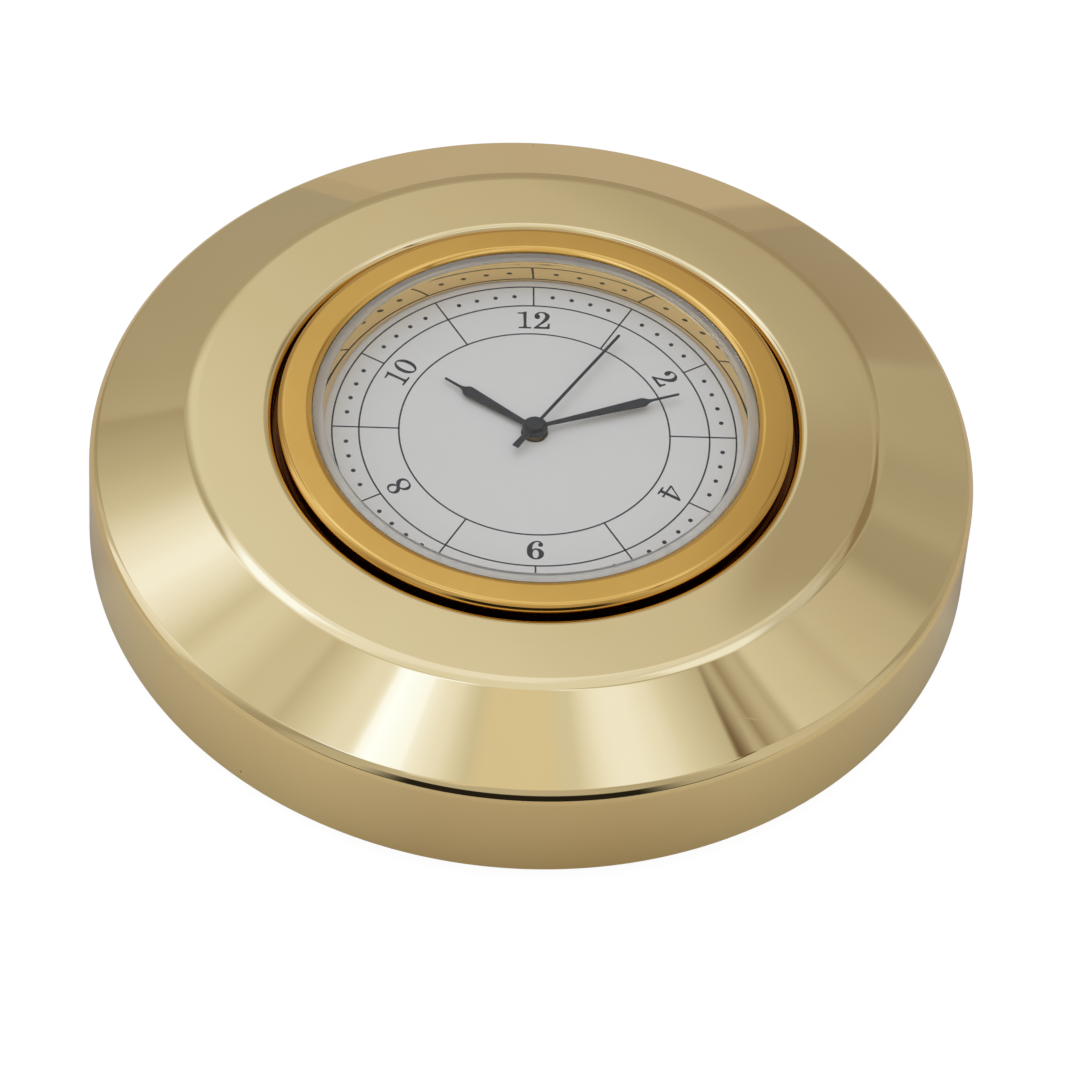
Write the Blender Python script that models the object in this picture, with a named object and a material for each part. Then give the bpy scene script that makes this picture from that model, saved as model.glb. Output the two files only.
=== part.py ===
"""Chart weight clock: a turned brass weight that carries a lift-out quartz clock insert.

The origin is the centre of the underside of the felt, +Z is up, and six o'clock is towards -Y.
Every size is in metres. The weight and the felt stay on the desk. The insert is everything from
the bezel down to the back cover, and it lifts straight out of the bore to set the hands.
"""
import math

import bmesh
import bpy
from mathutils import Matrix, Vector

# Weight, turned from solid brass bar
WEIGHT_RADIUS = 0.04286
WEIGHT_THICKNESS = 0.0147
SHOULDER_HEIGHT = 0.00975
SHOULDER_FILLET = 0.0009
CROWN_RADIUS = 0.0333
CROWN_FILLET = 0.0013
FOOT_CHAMFER = 0.0004
COUNTERBORE_GAP = 0.0009
COUNTERBORE_DEPTH = 0.0023
RIM_FILLET = 0.0007
BORE_DEPTH = 0.0133

# Felt under the weight
FELT_RADIUS = 0.0405
FELT_THICKNESS = 0.0010

# Gaps between pieces that rest on, fill or turn in each other
SEAT_GAP = 0.0003
FIT_GAP = 0.0001
RUN_GAP = 0.00005

# Bezel and what it clamps
BEZEL_WALL = 0.0010
BEZEL_HEIGHT = 0.0028
BEZEL_EDGE_FILLET = 0.0003
BEZEL_FACE_WIDTH = 0.0032
BEZEL_CHAMFER = 0.0004
GASKET_WALL = 0.0004
CRYSTAL_THICKNESS = 0.0012
CRYSTAL_CHAMFER = 0.0002
CRYSTAL_SINK = 0.0003
REFLECTOR_INSET = 0.00095
REFLECTOR_FLANGE = 0.0006
REFLECTOR_WALL = 0.0005

# Case cup with its collar, and the ring that grips the bore
CUP_RADIUS = 0.0220
CUP_WALL = 0.0009
COLLAR_WIDTH = 0.0016
COLLAR_THICKNESS = 0.0006
CUP_DEPTH = 0.0095
GRIP_SPACE = 0.0010
GRIP_WIDTH = 0.0036
GRIP_GROOVE = 0.0004
GRIP_RIBS = 3
COVER_THICKNESS = 0.0007
COVER_LIP = 0.0004

# Dial
DIAL_THICKNESS = 0.0004
DIAL_BORE_RADIUS = 0.0013
DIAL_TO_CRYSTAL = 0.00232
DIAL_FOOT_RADIUS = 0.00035
DIAL_FOOT_LENGTH = 0.0021
DIAL_FOOT_PLACE = 0.0140

# Hands, with their angles clockwise from twelve
HAND_SHEET = 0.00012
HAND_SPACING = 0.00025
HOUR_HAND_LIFT = 0.00045
HOUR_HAND_LENGTH = 0.0107
HOUR_HAND_ROOT = 0.0006
HOUR_HAND_WIDTH = 0.00126
HOUR_HAND_WIDEST_AT = 0.0080
HOUR_NEEDLE_FROM = 0.0087
HOUR_HAND_ANGLE = 305.9
MINUTE_HAND_LENGTH = 0.01484
MINUTE_HAND_ROOT = 0.0004
MINUTE_HAND_WIDTH = 0.00108
MINUTE_HAND_WIDEST_AT = 0.0111
MINUTE_NEEDLE_FROM = 0.0119
MINUTE_HAND_ANGLE = 70.9
SECOND_HAND_LENGTH = 0.01483
SECOND_HAND_WIDTH = 0.00026
SECOND_HAND_TAIL = 0.0034
SECOND_TAIL_WIDTH = 0.00066
SECOND_HAND_ANGLE = 34.2
NEEDLE_WIDTH = 0.00020
HUB_MARGIN = 0.0005
HUB_STEP = 0.00035

# Movement plates and the spacer ring round them
PLATE_THICKNESS = 0.0012
MOTION_WORK_SPACE = 0.0014
TRAIN_SPACE = 0.0024
BRIDGE_RADIUS = 0.0118
BRIDGE_THICKNESS = 0.0008
SPACER_WALL = 0.0013
SPACER_LEDGE = 0.0006
PILLAR_RADIUS = 0.0013
BRIDGE_PILLAR_DISTANCE = 0.0103

# Wheel train: tooth counts and centre distances
ROTOR_LEAVES = 6
STEP_WHEEL_TEETH = 36
STEP_PINION_LEAVES = 6
SECONDS_WHEEL_TEETH = 30
SECONDS_PINION_LEAVES = 6
THIRD_WHEEL_TEETH = 48
THIRD_PINION_LEAVES = 6
CENTRE_WHEEL_TEETH = 45
CANNON_LEAVES = 10
MINUTE_WHEEL_TEETH = 30
MINUTE_PINION_LEAVES = 8
HOUR_WHEEL_TEETH = 32
SETTING_LEAVES = 10
TRAIN_CENTRES = 0.0064
ROTOR_CENTRES = 0.00448
MOTION_CENTRES = 0.0048
THIRD_DIRECTION = -60.0
STEP_DIRECTION = 180.0
ROTOR_DIRECTION = 240.0
SETTING_DIRECTION = 90.0
WHEEL_THICKNESS = 0.00028
PINION_MARGIN = 0.00012
ARBOR_RADIUS = 0.0003
PIVOT_RADIUS = 0.0002
SECONDS_ARBOR_RADIUS = 0.00035
CANNON_RADIUS = 0.0007
HOUR_PIPE_RADIUS = 0.00105
CENTRE_TUBE_RADIUS = 0.00095
ARM_COUNT = 4
ARM_WIDTH = 0.0006
BOSS_RADIUS = 0.0017
RIM_DEPTH = 3.0

# Stepping motor
MAGNET_RADIUS = 0.0015
MAGNET_THICKNESS = 0.0005
STATOR_THICKNESS = 0.0004
STATOR_EYE_RADIUS = 0.0019
STATOR_EYE_WALL = 0.0012
STATOR_ARM_WIDTH = 0.0024
COIL_LINE_X = -0.0142
COIL_END_Y = 0.0024
COIL_START_Y = -0.0092
CORE_WIDTH = 0.0013
BOBBIN_RADIUS = 0.0009
BOBBIN_FLANGE_RADIUS = 0.0016
BOBBIN_FLANGE = 0.0005
BOBBIN_LENGTH = 0.0080
WINDING_RADIUS = 0.0015

# Battery, its contacts and the cap that keeps it in
BATTERY_RADIUS = 0.0058
BATTERY_HEIGHT = 0.0054
BATTERY_RIM_STEP = 0.0007
BATTERY_EDGE = 0.0003
BATTERY_DISTANCE = 0.01248
BATTERY_DIRECTION = 21.6
CONTACT_SHEET = 0.0002
CONTACT_WIDTH = 0.0022
CONTACT_REACH = 0.0022
CLIP_HEIGHT = 0.0017
CLIP_SPAN = 48.0
CAP_RADIUS = 0.0064
CAP_LUG_LENGTH = 0.0009
CAP_LUG_ANGLE = 30.0
CAP_LUG_THICKNESS = 0.0004
CAP_NOTCH_MARGIN = 2.0
CAP_TURN = 45.0
COIN_SLOT_LENGTH = 0.0084
COIN_SLOT_WIDTH = 0.0012
COIN_SLOT_DEPTH = 0.0004

# Circuit board
BOARD_THICKNESS = 0.0006
BOARD_INNER_RADIUS = 0.0122
BOARD_OUTER_RADIUS = 0.0186
BOARD_START = -112.0
BOARD_END = -24.0
BOARD_SCREW_DIRECTIONS = {"left": -98.0, "right": -42.0}
CHIP_RADIUS = 0.0016
CHIP_HEIGHT = 0.0004
CHIP_DIRECTION = -82.0
QUARTZ_RADIUS = 0.00075
QUARTZ_LENGTH = 0.0060
QUARTZ_DIRECTION = -62.0

# Hand-setting knob
KNOB_RADIUS = 0.0028
KNOB_HEIGHT = 0.0017
KNOB_FLUTES = 18
KNOB_FLUTE_DEPTH = 0.0002
KNOB_DISH = 0.0003
KNOB_CLEARANCE = 0.0004
KNOB_PROUD = 0.0009

# Screws
SCREW_HEAD_RADIUS = 0.00095
SCREW_HEAD_HEIGHT = 0.00045
SCREW_SHANK_RADIUS = 0.0004
SCREW_SLOT_WIDTH = 0.00025

# Facets round a full circle
LARGE_ROUND = 48
MIDDLE_ROUND = 24
SMALL_ROUND = 10
PIVOT_ROUND = 8
COIL_ROUND = 16

# Filling a drawn outline joins points nearer than 0.03 mm, so outlines are drawn enlarged
DRAWING_SCALE = 1000.0

# Radii that follow the cup: the bore and the recess outside it, the bezel and the glass on it
BORE_RADIUS = CUP_RADIUS + GRIP_SPACE
COLLAR_RADIUS = CUP_RADIUS + COLLAR_WIDTH
BEZEL_RADIUS = COLLAR_RADIUS + BEZEL_WALL
COUNTERBORE_RADIUS = BEZEL_RADIUS + COUNTERBORE_GAP
BEZEL_BORE_RADIUS = BEZEL_RADIUS - BEZEL_FACE_WIDTH
CRYSTAL_RADIUS = BEZEL_BORE_RADIUS - GASKET_WALL
REFLECTOR_RADIUS = BEZEL_BORE_RADIUS - REFLECTOR_INSET
CUP_BORE_RADIUS = CUP_RADIUS - CUP_WALL
COVER_RADIUS = CUP_BORE_RADIUS + COVER_LIP
SPACER_RADIUS = CUP_BORE_RADIUS - FIT_GAP
SPACER_BORE_RADIUS = SPACER_RADIUS - SPACER_WALL
PLATE_RADIUS = SPACER_BORE_RADIUS - SEAT_GAP

# Heights of the weight
WEIGHT_BASE = FELT_THICKNESS + SEAT_GAP
WEIGHT_TOP = WEIGHT_BASE + WEIGHT_THICKNESS
LEDGE_Z = WEIGHT_TOP - COUNTERBORE_DEPTH
BORE_FLOOR_Z = WEIGHT_TOP - BORE_DEPTH

# Heights of the insert, from the bezel down to the back cover
BEZEL_BASE = LEDGE_Z + SEAT_GAP
BEZEL_TOP = BEZEL_BASE + BEZEL_HEIGHT
CRYSTAL_TOP = BEZEL_TOP - CRYSTAL_SINK
CRYSTAL_BASE = CRYSTAL_TOP - CRYSTAL_THICKNESS
DIAL_TOP = CRYSTAL_BASE - DIAL_TO_CRYSTAL
DIAL_BASE = DIAL_TOP - DIAL_THICKNESS
COLLAR_TOP = BEZEL_BASE + COLLAR_THICKNESS
CUP_BASE = BEZEL_BASE - CUP_DEPTH
COVER_BASE = CUP_BASE + FIT_GAP
COVER_TOP = COVER_BASE + COVER_THICKNESS

# Heights inside the movement, from the dial down to the battery cap
PLATE_TOP = DIAL_BASE - MOTION_WORK_SPACE
PLATE_BASE = PLATE_TOP - PLATE_THICKNESS
BRIDGE_TOP = PLATE_BASE - TRAIN_SPACE
BRIDGE_BASE = BRIDGE_TOP - BRIDGE_THICKNESS
CENTRE_WHEEL_Z = PLATE_BASE - 2 * WHEEL_THICKNESS
STEP_WHEEL_Z = CENTRE_WHEEL_Z - 2 * WHEEL_THICKNESS
THIRD_WHEEL_Z = STEP_WHEEL_Z - 2 * WHEEL_THICKNESS
SECONDS_WHEEL_Z = BRIDGE_TOP + FIT_GAP
STATOR_Z = SECONDS_WHEEL_Z + 2 * WHEEL_THICKNESS
CANNON_Z = PLATE_TOP + FIT_GAP
MINUTE_WHEEL_Z = CANNON_Z + FIT_GAP
HOUR_WHEEL_Z = MINUTE_WHEEL_Z + 2 * WHEEL_THICKNESS
HOUR_HAND_Z = DIAL_TOP + HOUR_HAND_LIFT
MINUTE_HAND_Z = HOUR_HAND_Z + HAND_SPACING
SECOND_HAND_Z = MINUTE_HAND_Z + HAND_SPACING


def polar(distance, degrees):
    """Place in plan, from a distance and a direction measured from +X."""
    turn = math.radians(degrees)
    return (distance * math.cos(turn), distance * math.sin(turn))


# Places in plan
STEP_PLACE = polar(TRAIN_CENTRES, STEP_DIRECTION)
THIRD_PLACE = polar(TRAIN_CENTRES, THIRD_DIRECTION)
ROTOR_OFFSET = polar(ROTOR_CENTRES, ROTOR_DIRECTION)
ROTOR_PLACE = (STEP_PLACE[0] + ROTOR_OFFSET[0], STEP_PLACE[1] + ROTOR_OFFSET[1])
MINUTE_WHEEL_PLACE = polar(MOTION_CENTRES, SETTING_DIRECTION)
SETTING_PLACE = polar(2 * MOTION_CENTRES, SETTING_DIRECTION)
BATTERY_PLACE = polar(BATTERY_DISTANCE, BATTERY_DIRECTION)
DIAL_FEET = [polar(DIAL_FOOT_PLACE, 135.0), polar(DIAL_FOOT_PLACE, 315.0)]
CAP_LUG_DIRECTION = BATTERY_DIRECTION + 90.0
BRIDGE_PILLARS = {
    "upper_left": polar(BRIDGE_PILLAR_DISTANCE, 135.0),
    "lower_left": polar(BRIDGE_PILLAR_DISTANCE, -125.0),
    "upper_right": polar(BRIDGE_PILLAR_DISTANCE, 70.0),
}
BOARD_MIDDLE = (BOARD_INNER_RADIUS + BOARD_OUTER_RADIUS) / 2
BOARD_PILLARS = {side: polar(BOARD_MIDDLE, turn) for side, turn in BOARD_SCREW_DIRECTIONS.items()}
COIL_ENDS = {
    "lower": (COIL_LINE_X, COIL_START_Y),
    "upper": (COIL_LINE_X, COIL_END_Y),
}


def clear_scene():
    """Empty the file."""
    for old in list(bpy.data.objects):
        bpy.data.objects.remove(old, do_unlink=True)


def surface(name, colour, roughness, metallic):
    """A material from its colour, roughness and metallic value."""
    material = bpy.data.materials.new(name)
    material.use_nodes = True
    shader = material.node_tree.nodes["Principled BSDF"]
    shader.inputs["Base Color"].default_value = (*colour, 1.0)
    shader.inputs["Roughness"].default_value = roughness
    shader.inputs["Metallic"].default_value = metallic
    material.diffuse_color = (*colour, 1.0)
    return material


def body(name):
    """An empty that carries the pieces of one moving group."""
    holder = bpy.data.objects.new(name, None)
    bpy.context.scene.collection.objects.link(holder)
    return holder


def piece(name, mesh, material, place=(0.0, 0.0), parent=None):
    """A named sub-part from its mesh, set on its own axis in plan."""
    mesh.name = name
    part = bpy.data.objects.new(name, mesh)
    bpy.context.scene.collection.objects.link(part)
    part.data.materials.append(material)
    part.location = (place[0], place[1], 0.0)
    if parent is not None:
        part.parent = parent
        part.matrix_parent_inverse = Matrix.Translation(-parent.location)
    part.data.shade_smooth()
    part.data.set_sharp_from_angle(angle=math.radians(30.0))
    return part


def to_mesh(shape):
    """Turn a finished bmesh into a mesh with its faces pointing out."""
    bmesh.ops.recalc_face_normals(shape, faces=shape.faces)
    mesh = bpy.data.meshes.new("blank")
    shape.to_mesh(mesh)
    shape.free()
    return mesh


def circle(radius, count=SMALL_ROUND, centre=(0.0, 0.0), start=0.0):
    """Points round a circle."""
    points = []
    for index in range(count):
        turn = start + 2 * math.pi * index / count
        points.append((centre[0] + radius * math.cos(turn), centre[1] + radius * math.sin(turn)))
    return points


def arc(radius, start, end, steps, centre=(0.0, 0.0)):
    """Points along an arc, both ends included, with the angles in degrees."""
    points = []
    for index in range(steps + 1):
        turn = math.radians(start + (end - start) * index / steps)
        points.append((centre[0] + radius * math.cos(turn), centre[1] + radius * math.sin(turn)))
    return points


def rounded(corners, closed=True):
    """A profile whose corners (r, z, fillet, steps) are replaced by arcs of that fillet radius."""
    outline = []
    count = len(corners)
    for index, corner in enumerate(corners):
        here = Vector(corner[:2])
        fillet = corner[2] if len(corner) > 2 else 0.0
        end = not closed and index in (0, count - 1)
        if fillet <= 0.0 or end:
            outline.append(tuple(here))
            continue
        before = (Vector(corners[index - 1][:2]) - here).normalized()
        after = (Vector(corners[(index + 1) % count][:2]) - here).normalized()
        half = before.angle(after) / 2
        reach = fillet / math.tan(half)
        middle = here + (before + after).normalized() * (fillet / math.sin(half))
        first = here + before * reach - middle
        sweep = first.angle_signed(here + after * reach - middle)
        steps = corner[3]
        for step in range(steps + 1):
            turn = Matrix.Rotation(-sweep * step / steps, 2)
            outline.append(tuple(middle + turn @ first))
    return outline


def turned(profile, count=LARGE_ROUND, closed=True):
    """A solid of revolution about Z from a profile of (radius, height) points."""
    shape = bmesh.new()
    points = [shape.verts.new((radius, 0.0, height)) for radius, height in profile]
    lines = [shape.edges.new(pair) for pair in zip(points, points[1:])]
    if closed:
        lines.append(shape.edges.new((points[-1], points[0])))
    bmesh.ops.spin(
        shape,
        geom=points + lines,
        cent=(0.0, 0.0, 0.0),
        axis=(0.0, 0.0, 1.0),
        angle=2 * math.pi,
        steps=count,
        use_merge=True,
    )
    bmesh.ops.remove_doubles(shape, verts=shape.verts, dist=1e-7)
    return to_mesh(shape)


def ring_at(shape, outline, height):
    """One closed loop of points at a height, drawn at the enlarged scale."""
    scale = DRAWING_SCALE
    return [shape.verts.new((x * scale, y * scale, height * scale)) for x, y in outline]


def loop_edges(shape, ring):
    """The edges of a closed loop of points."""
    edges = []
    for here, there in zip(ring, ring[1:] + ring[:1]):
        edges.append(shape.edges.get((here, there)) or shape.edges.new((here, there)))
    return edges


def wall(shape, low, high):
    """The faces between two loops with the same number of points."""
    count = len(low)
    for index in range(count):
        after = (index + 1) % count
        shape.faces.new((low[index], low[after], high[after], high[index]))


def terraced(walls):
    """A closed solid made only of upright walls and level faces.

    Each wall is (outline, low, high). At every height where walls begin or end, the face between
    their outlines is filled, so an outline inside another is a hole, a recess or a post.
    """
    shape = bmesh.new()
    seams = {}
    for outline, low, high in walls:
        lower = ring_at(shape, outline, low)
        upper = ring_at(shape, outline, high)
        wall(shape, lower, upper)
        seams.setdefault(round(low, 9), []).append(lower)
        seams.setdefault(round(high, 9), []).append(upper)
    for rings in seams.values():
        edges = [edge for ring in rings for edge in loop_edges(shape, ring)]
        bmesh.ops.triangle_fill(shape, use_beauty=True, edges=edges, normal=(0.0, 0.0, 1.0))
    bmesh.ops.scale(shape, vec=(1 / DRAWING_SCALE,) * 3, verts=shape.verts)
    return to_mesh(shape)


def stack(levels, bore=None, bore_count=SMALL_ROUND):
    """Coaxial slabs (outline, low, high) on top of each other, with a bore through them all."""
    walls = list(levels)
    if bore:
        walls.append((circle(bore, bore_count), levels[0][1], levels[-1][2]))
    return terraced(walls)


def slab(outline, low, high, windows=()):
    """One flat plate with holes through it."""
    return terraced([(outline, low, high), *[(window, low, high) for window in windows]])


def drum(radius, low, high, count=SMALL_ROUND):
    """A plain cylinder on its own axis."""
    return turned([(0.0, low), (radius, low), (radius, high), (0.0, high)], count, closed=False)


def moved(mesh, offset=(0.0, 0.0, 0.0), turn=0.0, axis="Z"):
    """A mesh turned about an axis through its origin, in degrees, and then shifted."""
    mesh.transform(Matrix.Translation(offset) @ Matrix.Rotation(math.radians(turn), 4, axis))
    return mesh


# Tooth form, in modules and in shares of the tooth pitch
WHEEL_ADDENDUM = 0.95
WHEEL_DEDENDUM = 1.25
PINION_ADDENDUM = 0.65
PINION_DEDENDUM = 1.35
TOOTH_SHARE = 0.42
TIP_SHARE = 0.16
LEAF_SHARE = 0.36


def wheel_outline(teeth, module, facing):
    """A wheel's outline: radial flanks up to the pitch circle, then a rounded point.

    One tooth is centred on the direction facing, in degrees.
    """
    pitch = teeth * module / 2
    step = 2 * math.pi / teeth
    points = []
    for index in range(teeth):
        middle = math.radians(facing) + index * step
        for side in (-1, 1):
            flank = [
                (pitch - WHEEL_DEDENDUM * module, TOOTH_SHARE),
                (pitch + WHEEL_ADDENDUM * module, TIP_SHARE),
            ]
            for radius, share in flank if side < 0 else reversed(flank):
                turn = middle + side * share * step / 2
                points.append((radius * math.cos(turn), radius * math.sin(turn)))
    return points


def pinion_outline(leaves, module, facing):
    """A pinion's outline: radial leaves with blunt rounded ends, one gap centred on facing."""
    pitch = leaves * module / 2
    step = 2 * math.pi / leaves
    points = []
    for index in range(leaves):
        middle = math.radians(facing) + (index + 0.5) * step
        for side in (-1, 1):
            flank = [
                (pitch - PINION_DEDENDUM * module, LEAF_SHARE),
                (pitch, LEAF_SHARE),
                (pitch + PINION_ADDENDUM * module, TIP_SHARE),
            ]
            for radius, share in flank if side < 0 else reversed(flank):
                turn = middle + side * share * step / 2
                points.append((radius * math.cos(turn), radius * math.sin(turn)))
    return points


def module_for(centres, first, second):
    """The tooth size that puts two meshing gears on their centre distance."""
    return 2 * centres / (first + second)


def spokes(teeth, module, low):
    """The windows between a wheel's four arms, as walls through its thickness."""
    rim = (teeth / 2 - RIM_DEPTH) * module
    walls = []
    for index in range(ARM_COUNT):
        middle = 360.0 * (index + 0.5) / ARM_COUNT
        rim_half = 180.0 / ARM_COUNT - math.degrees(ARM_WIDTH / 2 / rim)
        boss_half = 180.0 / ARM_COUNT - math.degrees(ARM_WIDTH / 2 / BOSS_RADIUS)
        window = arc(rim, middle - rim_half, middle + rim_half, 5)
        window += reversed(arc(BOSS_RADIUS, middle - boss_half, middle + boss_half, 2))
        walls.append((window, low, low + WHEEL_THICKNESS))
    return walls


def make_weight(brass, felt):
    """The turned weight with its blind bore, and the felt under it."""
    corners = [
        (0.0, WEIGHT_BASE),
        (WEIGHT_RADIUS, WEIGHT_BASE, FOOT_CHAMFER, 1),
        (WEIGHT_RADIUS, WEIGHT_BASE + SHOULDER_HEIGHT, SHOULDER_FILLET, 3),
        (CROWN_RADIUS, WEIGHT_TOP, CROWN_FILLET, 2),
        (COUNTERBORE_RADIUS, WEIGHT_TOP, RIM_FILLET, 3),
        (COUNTERBORE_RADIUS, LEDGE_Z),
        (BORE_RADIUS, LEDGE_Z),
        (BORE_RADIUS, BORE_FLOOR_Z),
        (0.0, BORE_FLOOR_Z),
    ]
    piece("weight_body", turned(rounded(corners, closed=False), closed=False), brass)
    piece("felt_pad", drum(FELT_RADIUS, 0.0, FELT_THICKNESS, LARGE_ROUND), felt)


def make_case(gold, polished, steel, rubber, glass, nylon, insert):
    """Bezel, crystal, gasket, reflector, cup, grip ring and back cover."""
    crystal_seat = CRYSTAL_BASE - FIT_GAP
    bezel = [
        (BEZEL_RADIUS, BEZEL_BASE, BEZEL_EDGE_FILLET / 2, 1),
        (BEZEL_RADIUS, BEZEL_TOP, BEZEL_EDGE_FILLET, 2),
        (BEZEL_BORE_RADIUS + BEZEL_CHAMFER, BEZEL_TOP),
        (BEZEL_BORE_RADIUS, BEZEL_TOP - BEZEL_CHAMFER),
        (BEZEL_BORE_RADIUS, COLLAR_TOP + FIT_GAP),
        (COLLAR_RADIUS + FIT_GAP, COLLAR_TOP + FIT_GAP),
        (COLLAR_RADIUS + FIT_GAP, BEZEL_BASE),
    ]
    piece("bezel", turned(rounded(bezel)), gold, parent=insert)
    crystal = [
        (0.0, CRYSTAL_BASE),
        (CRYSTAL_RADIUS, CRYSTAL_BASE),
        (CRYSTAL_RADIUS, CRYSTAL_TOP - CRYSTAL_CHAMFER),
        (CRYSTAL_RADIUS - CRYSTAL_CHAMFER, CRYSTAL_TOP),
        (0.0, CRYSTAL_TOP),
    ]
    piece("crystal", turned(crystal, closed=False), glass, parent=insert)
    gasket = [
        (CRYSTAL_RADIUS + RUN_GAP, CRYSTAL_BASE),
        (BEZEL_BORE_RADIUS - RUN_GAP, CRYSTAL_BASE),
        (BEZEL_BORE_RADIUS - RUN_GAP, CRYSTAL_TOP - CRYSTAL_CHAMFER),
        (CRYSTAL_RADIUS + RUN_GAP, CRYSTAL_TOP - CRYSTAL_CHAMFER),
    ]
    piece("crystal_gasket", turned(gasket), nylon, parent=insert)
    reflector = [
        (REFLECTOR_RADIUS, DIAL_TOP + FIT_GAP),
        (REFLECTOR_RADIUS + REFLECTOR_WALL, DIAL_TOP + FIT_GAP),
        (REFLECTOR_RADIUS + REFLECTOR_WALL, crystal_seat - REFLECTOR_FLANGE),
        (BEZEL_BORE_RADIUS - RUN_GAP, crystal_seat - REFLECTOR_FLANGE),
        (BEZEL_BORE_RADIUS - RUN_GAP, crystal_seat),
        (REFLECTOR_RADIUS, crystal_seat),
    ]
    piece("reflector_ring", turned(reflector), polished, parent=insert)

    groove_top = CUP_BASE + (CUP_DEPTH + GRIP_WIDTH) / 2
    groove_base = groove_top - GRIP_WIDTH
    cup = [
        (CUP_RADIUS, CUP_BASE),
        (CUP_RADIUS, groove_base),
        (CUP_RADIUS - GRIP_GROOVE, groove_base),
        (CUP_RADIUS - GRIP_GROOVE, groove_top),
        (CUP_RADIUS, groove_top),
        (CUP_RADIUS, BEZEL_BASE),
        (COLLAR_RADIUS, BEZEL_BASE),
        (COLLAR_RADIUS, COLLAR_TOP),
        (CUP_BORE_RADIUS, COLLAR_TOP),
        (CUP_BORE_RADIUS, COVER_TOP + FIT_GAP),
        (COVER_RADIUS + RUN_GAP, COVER_TOP + FIT_GAP),
        (COVER_RADIUS + RUN_GAP, CUP_BASE),
    ]
    piece("case_cup", turned(cup), steel, parent=insert)
    piece("grip_ring", turned(grip_profile(groove_base, groove_top)), rubber, parent=insert)
    piece("back_cover", cover_mesh(), steel, parent=insert)


def grip_profile(low, high):
    """The rubber ring's section: flat inside, with rounded ribs that press on the bore."""
    inner = CUP_RADIUS - GRIP_GROOVE + RUN_GAP
    crest = BORE_RADIUS - FIT_GAP
    valley = CUP_RADIUS + FIT_GAP
    base = low + FIT_GAP
    pitch = (high - low - 2 * FIT_GAP) / GRIP_RIBS
    points = [(inner, base), (valley, base)]
    for rib in range(GRIP_RIBS):
        for share in (0.35, 0.65):
            height = base + (rib + share) * pitch
            radius = valley + (crest - valley) * math.sin(math.pi * share)
            points.append((radius, height))
        points.append((valley, base + (rib + 1) * pitch))
    points.append((inner, high - FIT_GAP))
    return points


def cap_outline(radius, lug, half_angle, facing=0.0, centre=(0.0, 0.0)):
    """A round cap or its hole, with a bayonet lug on two opposite sides."""
    points = []
    for middle in (facing, facing + 180.0):
        points += arc(radius + lug, middle - half_angle, middle + half_angle, 3, centre)
        points += arc(radius, middle + half_angle, middle + 180.0 - half_angle, 11, centre)
    return points


def cover_mesh():
    """The back cover, with the knob's hole and the battery hole with its two notches."""
    knob_hole = circle(KNOB_RADIUS + KNOB_CLEARANCE, MIDDLE_ROUND, SETTING_PLACE)
    battery_hole = cap_outline(
        CAP_RADIUS + FIT_GAP,
        CAP_LUG_LENGTH,
        CAP_LUG_ANGLE / 2 + CAP_NOTCH_MARGIN,
        CAP_LUG_DIRECTION - CAP_TURN,
        BATTERY_PLACE,
    )
    outline = circle(COVER_RADIUS, LARGE_ROUND)
    return slab(outline, COVER_BASE, COVER_TOP, [knob_hole, battery_hole])


def make_battery_cap(steel, cap_body):
    """The coin-slotted cap, locked under the cover's edge by two lugs."""
    lug_base = COVER_TOP + RUN_GAP
    flange = cap_outline(CAP_RADIUS - 2 * FIT_GAP, CAP_LUG_LENGTH, CAP_LUG_ANGLE / 2)
    end = COIN_SLOT_WIDTH / 2
    slot = arc(end, -90.0, 90.0, 5, (COIN_SLOT_LENGTH / 2 - end, 0.0))
    slot += arc(end, 90.0, 270.0, 5, (end - COIN_SLOT_LENGTH / 2, 0.0))
    walls = [
        (circle(CAP_RADIUS, MIDDLE_ROUND), COVER_BASE, lug_base),
        (flange, lug_base, lug_base + CAP_LUG_THICKNESS),
        (slot, COVER_BASE, COVER_BASE + COIN_SLOT_DEPTH),
    ]
    cap = moved(terraced(walls), turn=CAP_LUG_DIRECTION)
    piece("battery_cap", cap, steel, BATTERY_PLACE, cap_body)


def make_dial(white, insert):
    """The dial with the two feet that locate it on the main plate."""
    walls = [
        (circle(SPACER_RADIUS, LARGE_ROUND), DIAL_BASE, DIAL_TOP),
        (circle(DIAL_BORE_RADIUS, MIDDLE_ROUND), DIAL_BASE, DIAL_TOP),
    ]
    for place in DIAL_FEET:
        foot = circle(DIAL_FOOT_RADIUS, PIVOT_ROUND, place)
        walls.append((foot, DIAL_BASE - DIAL_FOOT_LENGTH, DIAL_BASE))
    piece("dial", terraced(walls), white, parent=insert)


def hand_outline(hub, root_width, widest, widest_at, needle_from, length):
    """A lance hand along +X: a round hub, a blade that widens, and a needle at the end."""
    half_root = root_width / 2
    spread = math.degrees(math.asin(half_root / hub))
    points = arc(hub, spread, 360.0 - spread, MIDDLE_ROUND - 2)
    lower = [
        (widest_at, -widest / 2),
        (needle_from, -NEEDLE_WIDTH / 2),
        (length, -NEEDLE_WIDTH / 2),
    ]
    points += lower
    points += [(x, -y) for x, y in reversed(lower)]
    return points


def hand(outline, base, hub, bore, hub_height, angle):
    """A hand cut from sheet, with a round collet standing on its hub."""
    levels = [
        (outline, base, base + HAND_SHEET),
        (circle(hub, MIDDLE_ROUND), base + HAND_SHEET, base + hub_height),
    ]
    return moved(stack(levels, bore, MIDDLE_ROUND), turn=90.0 - angle)


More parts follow.
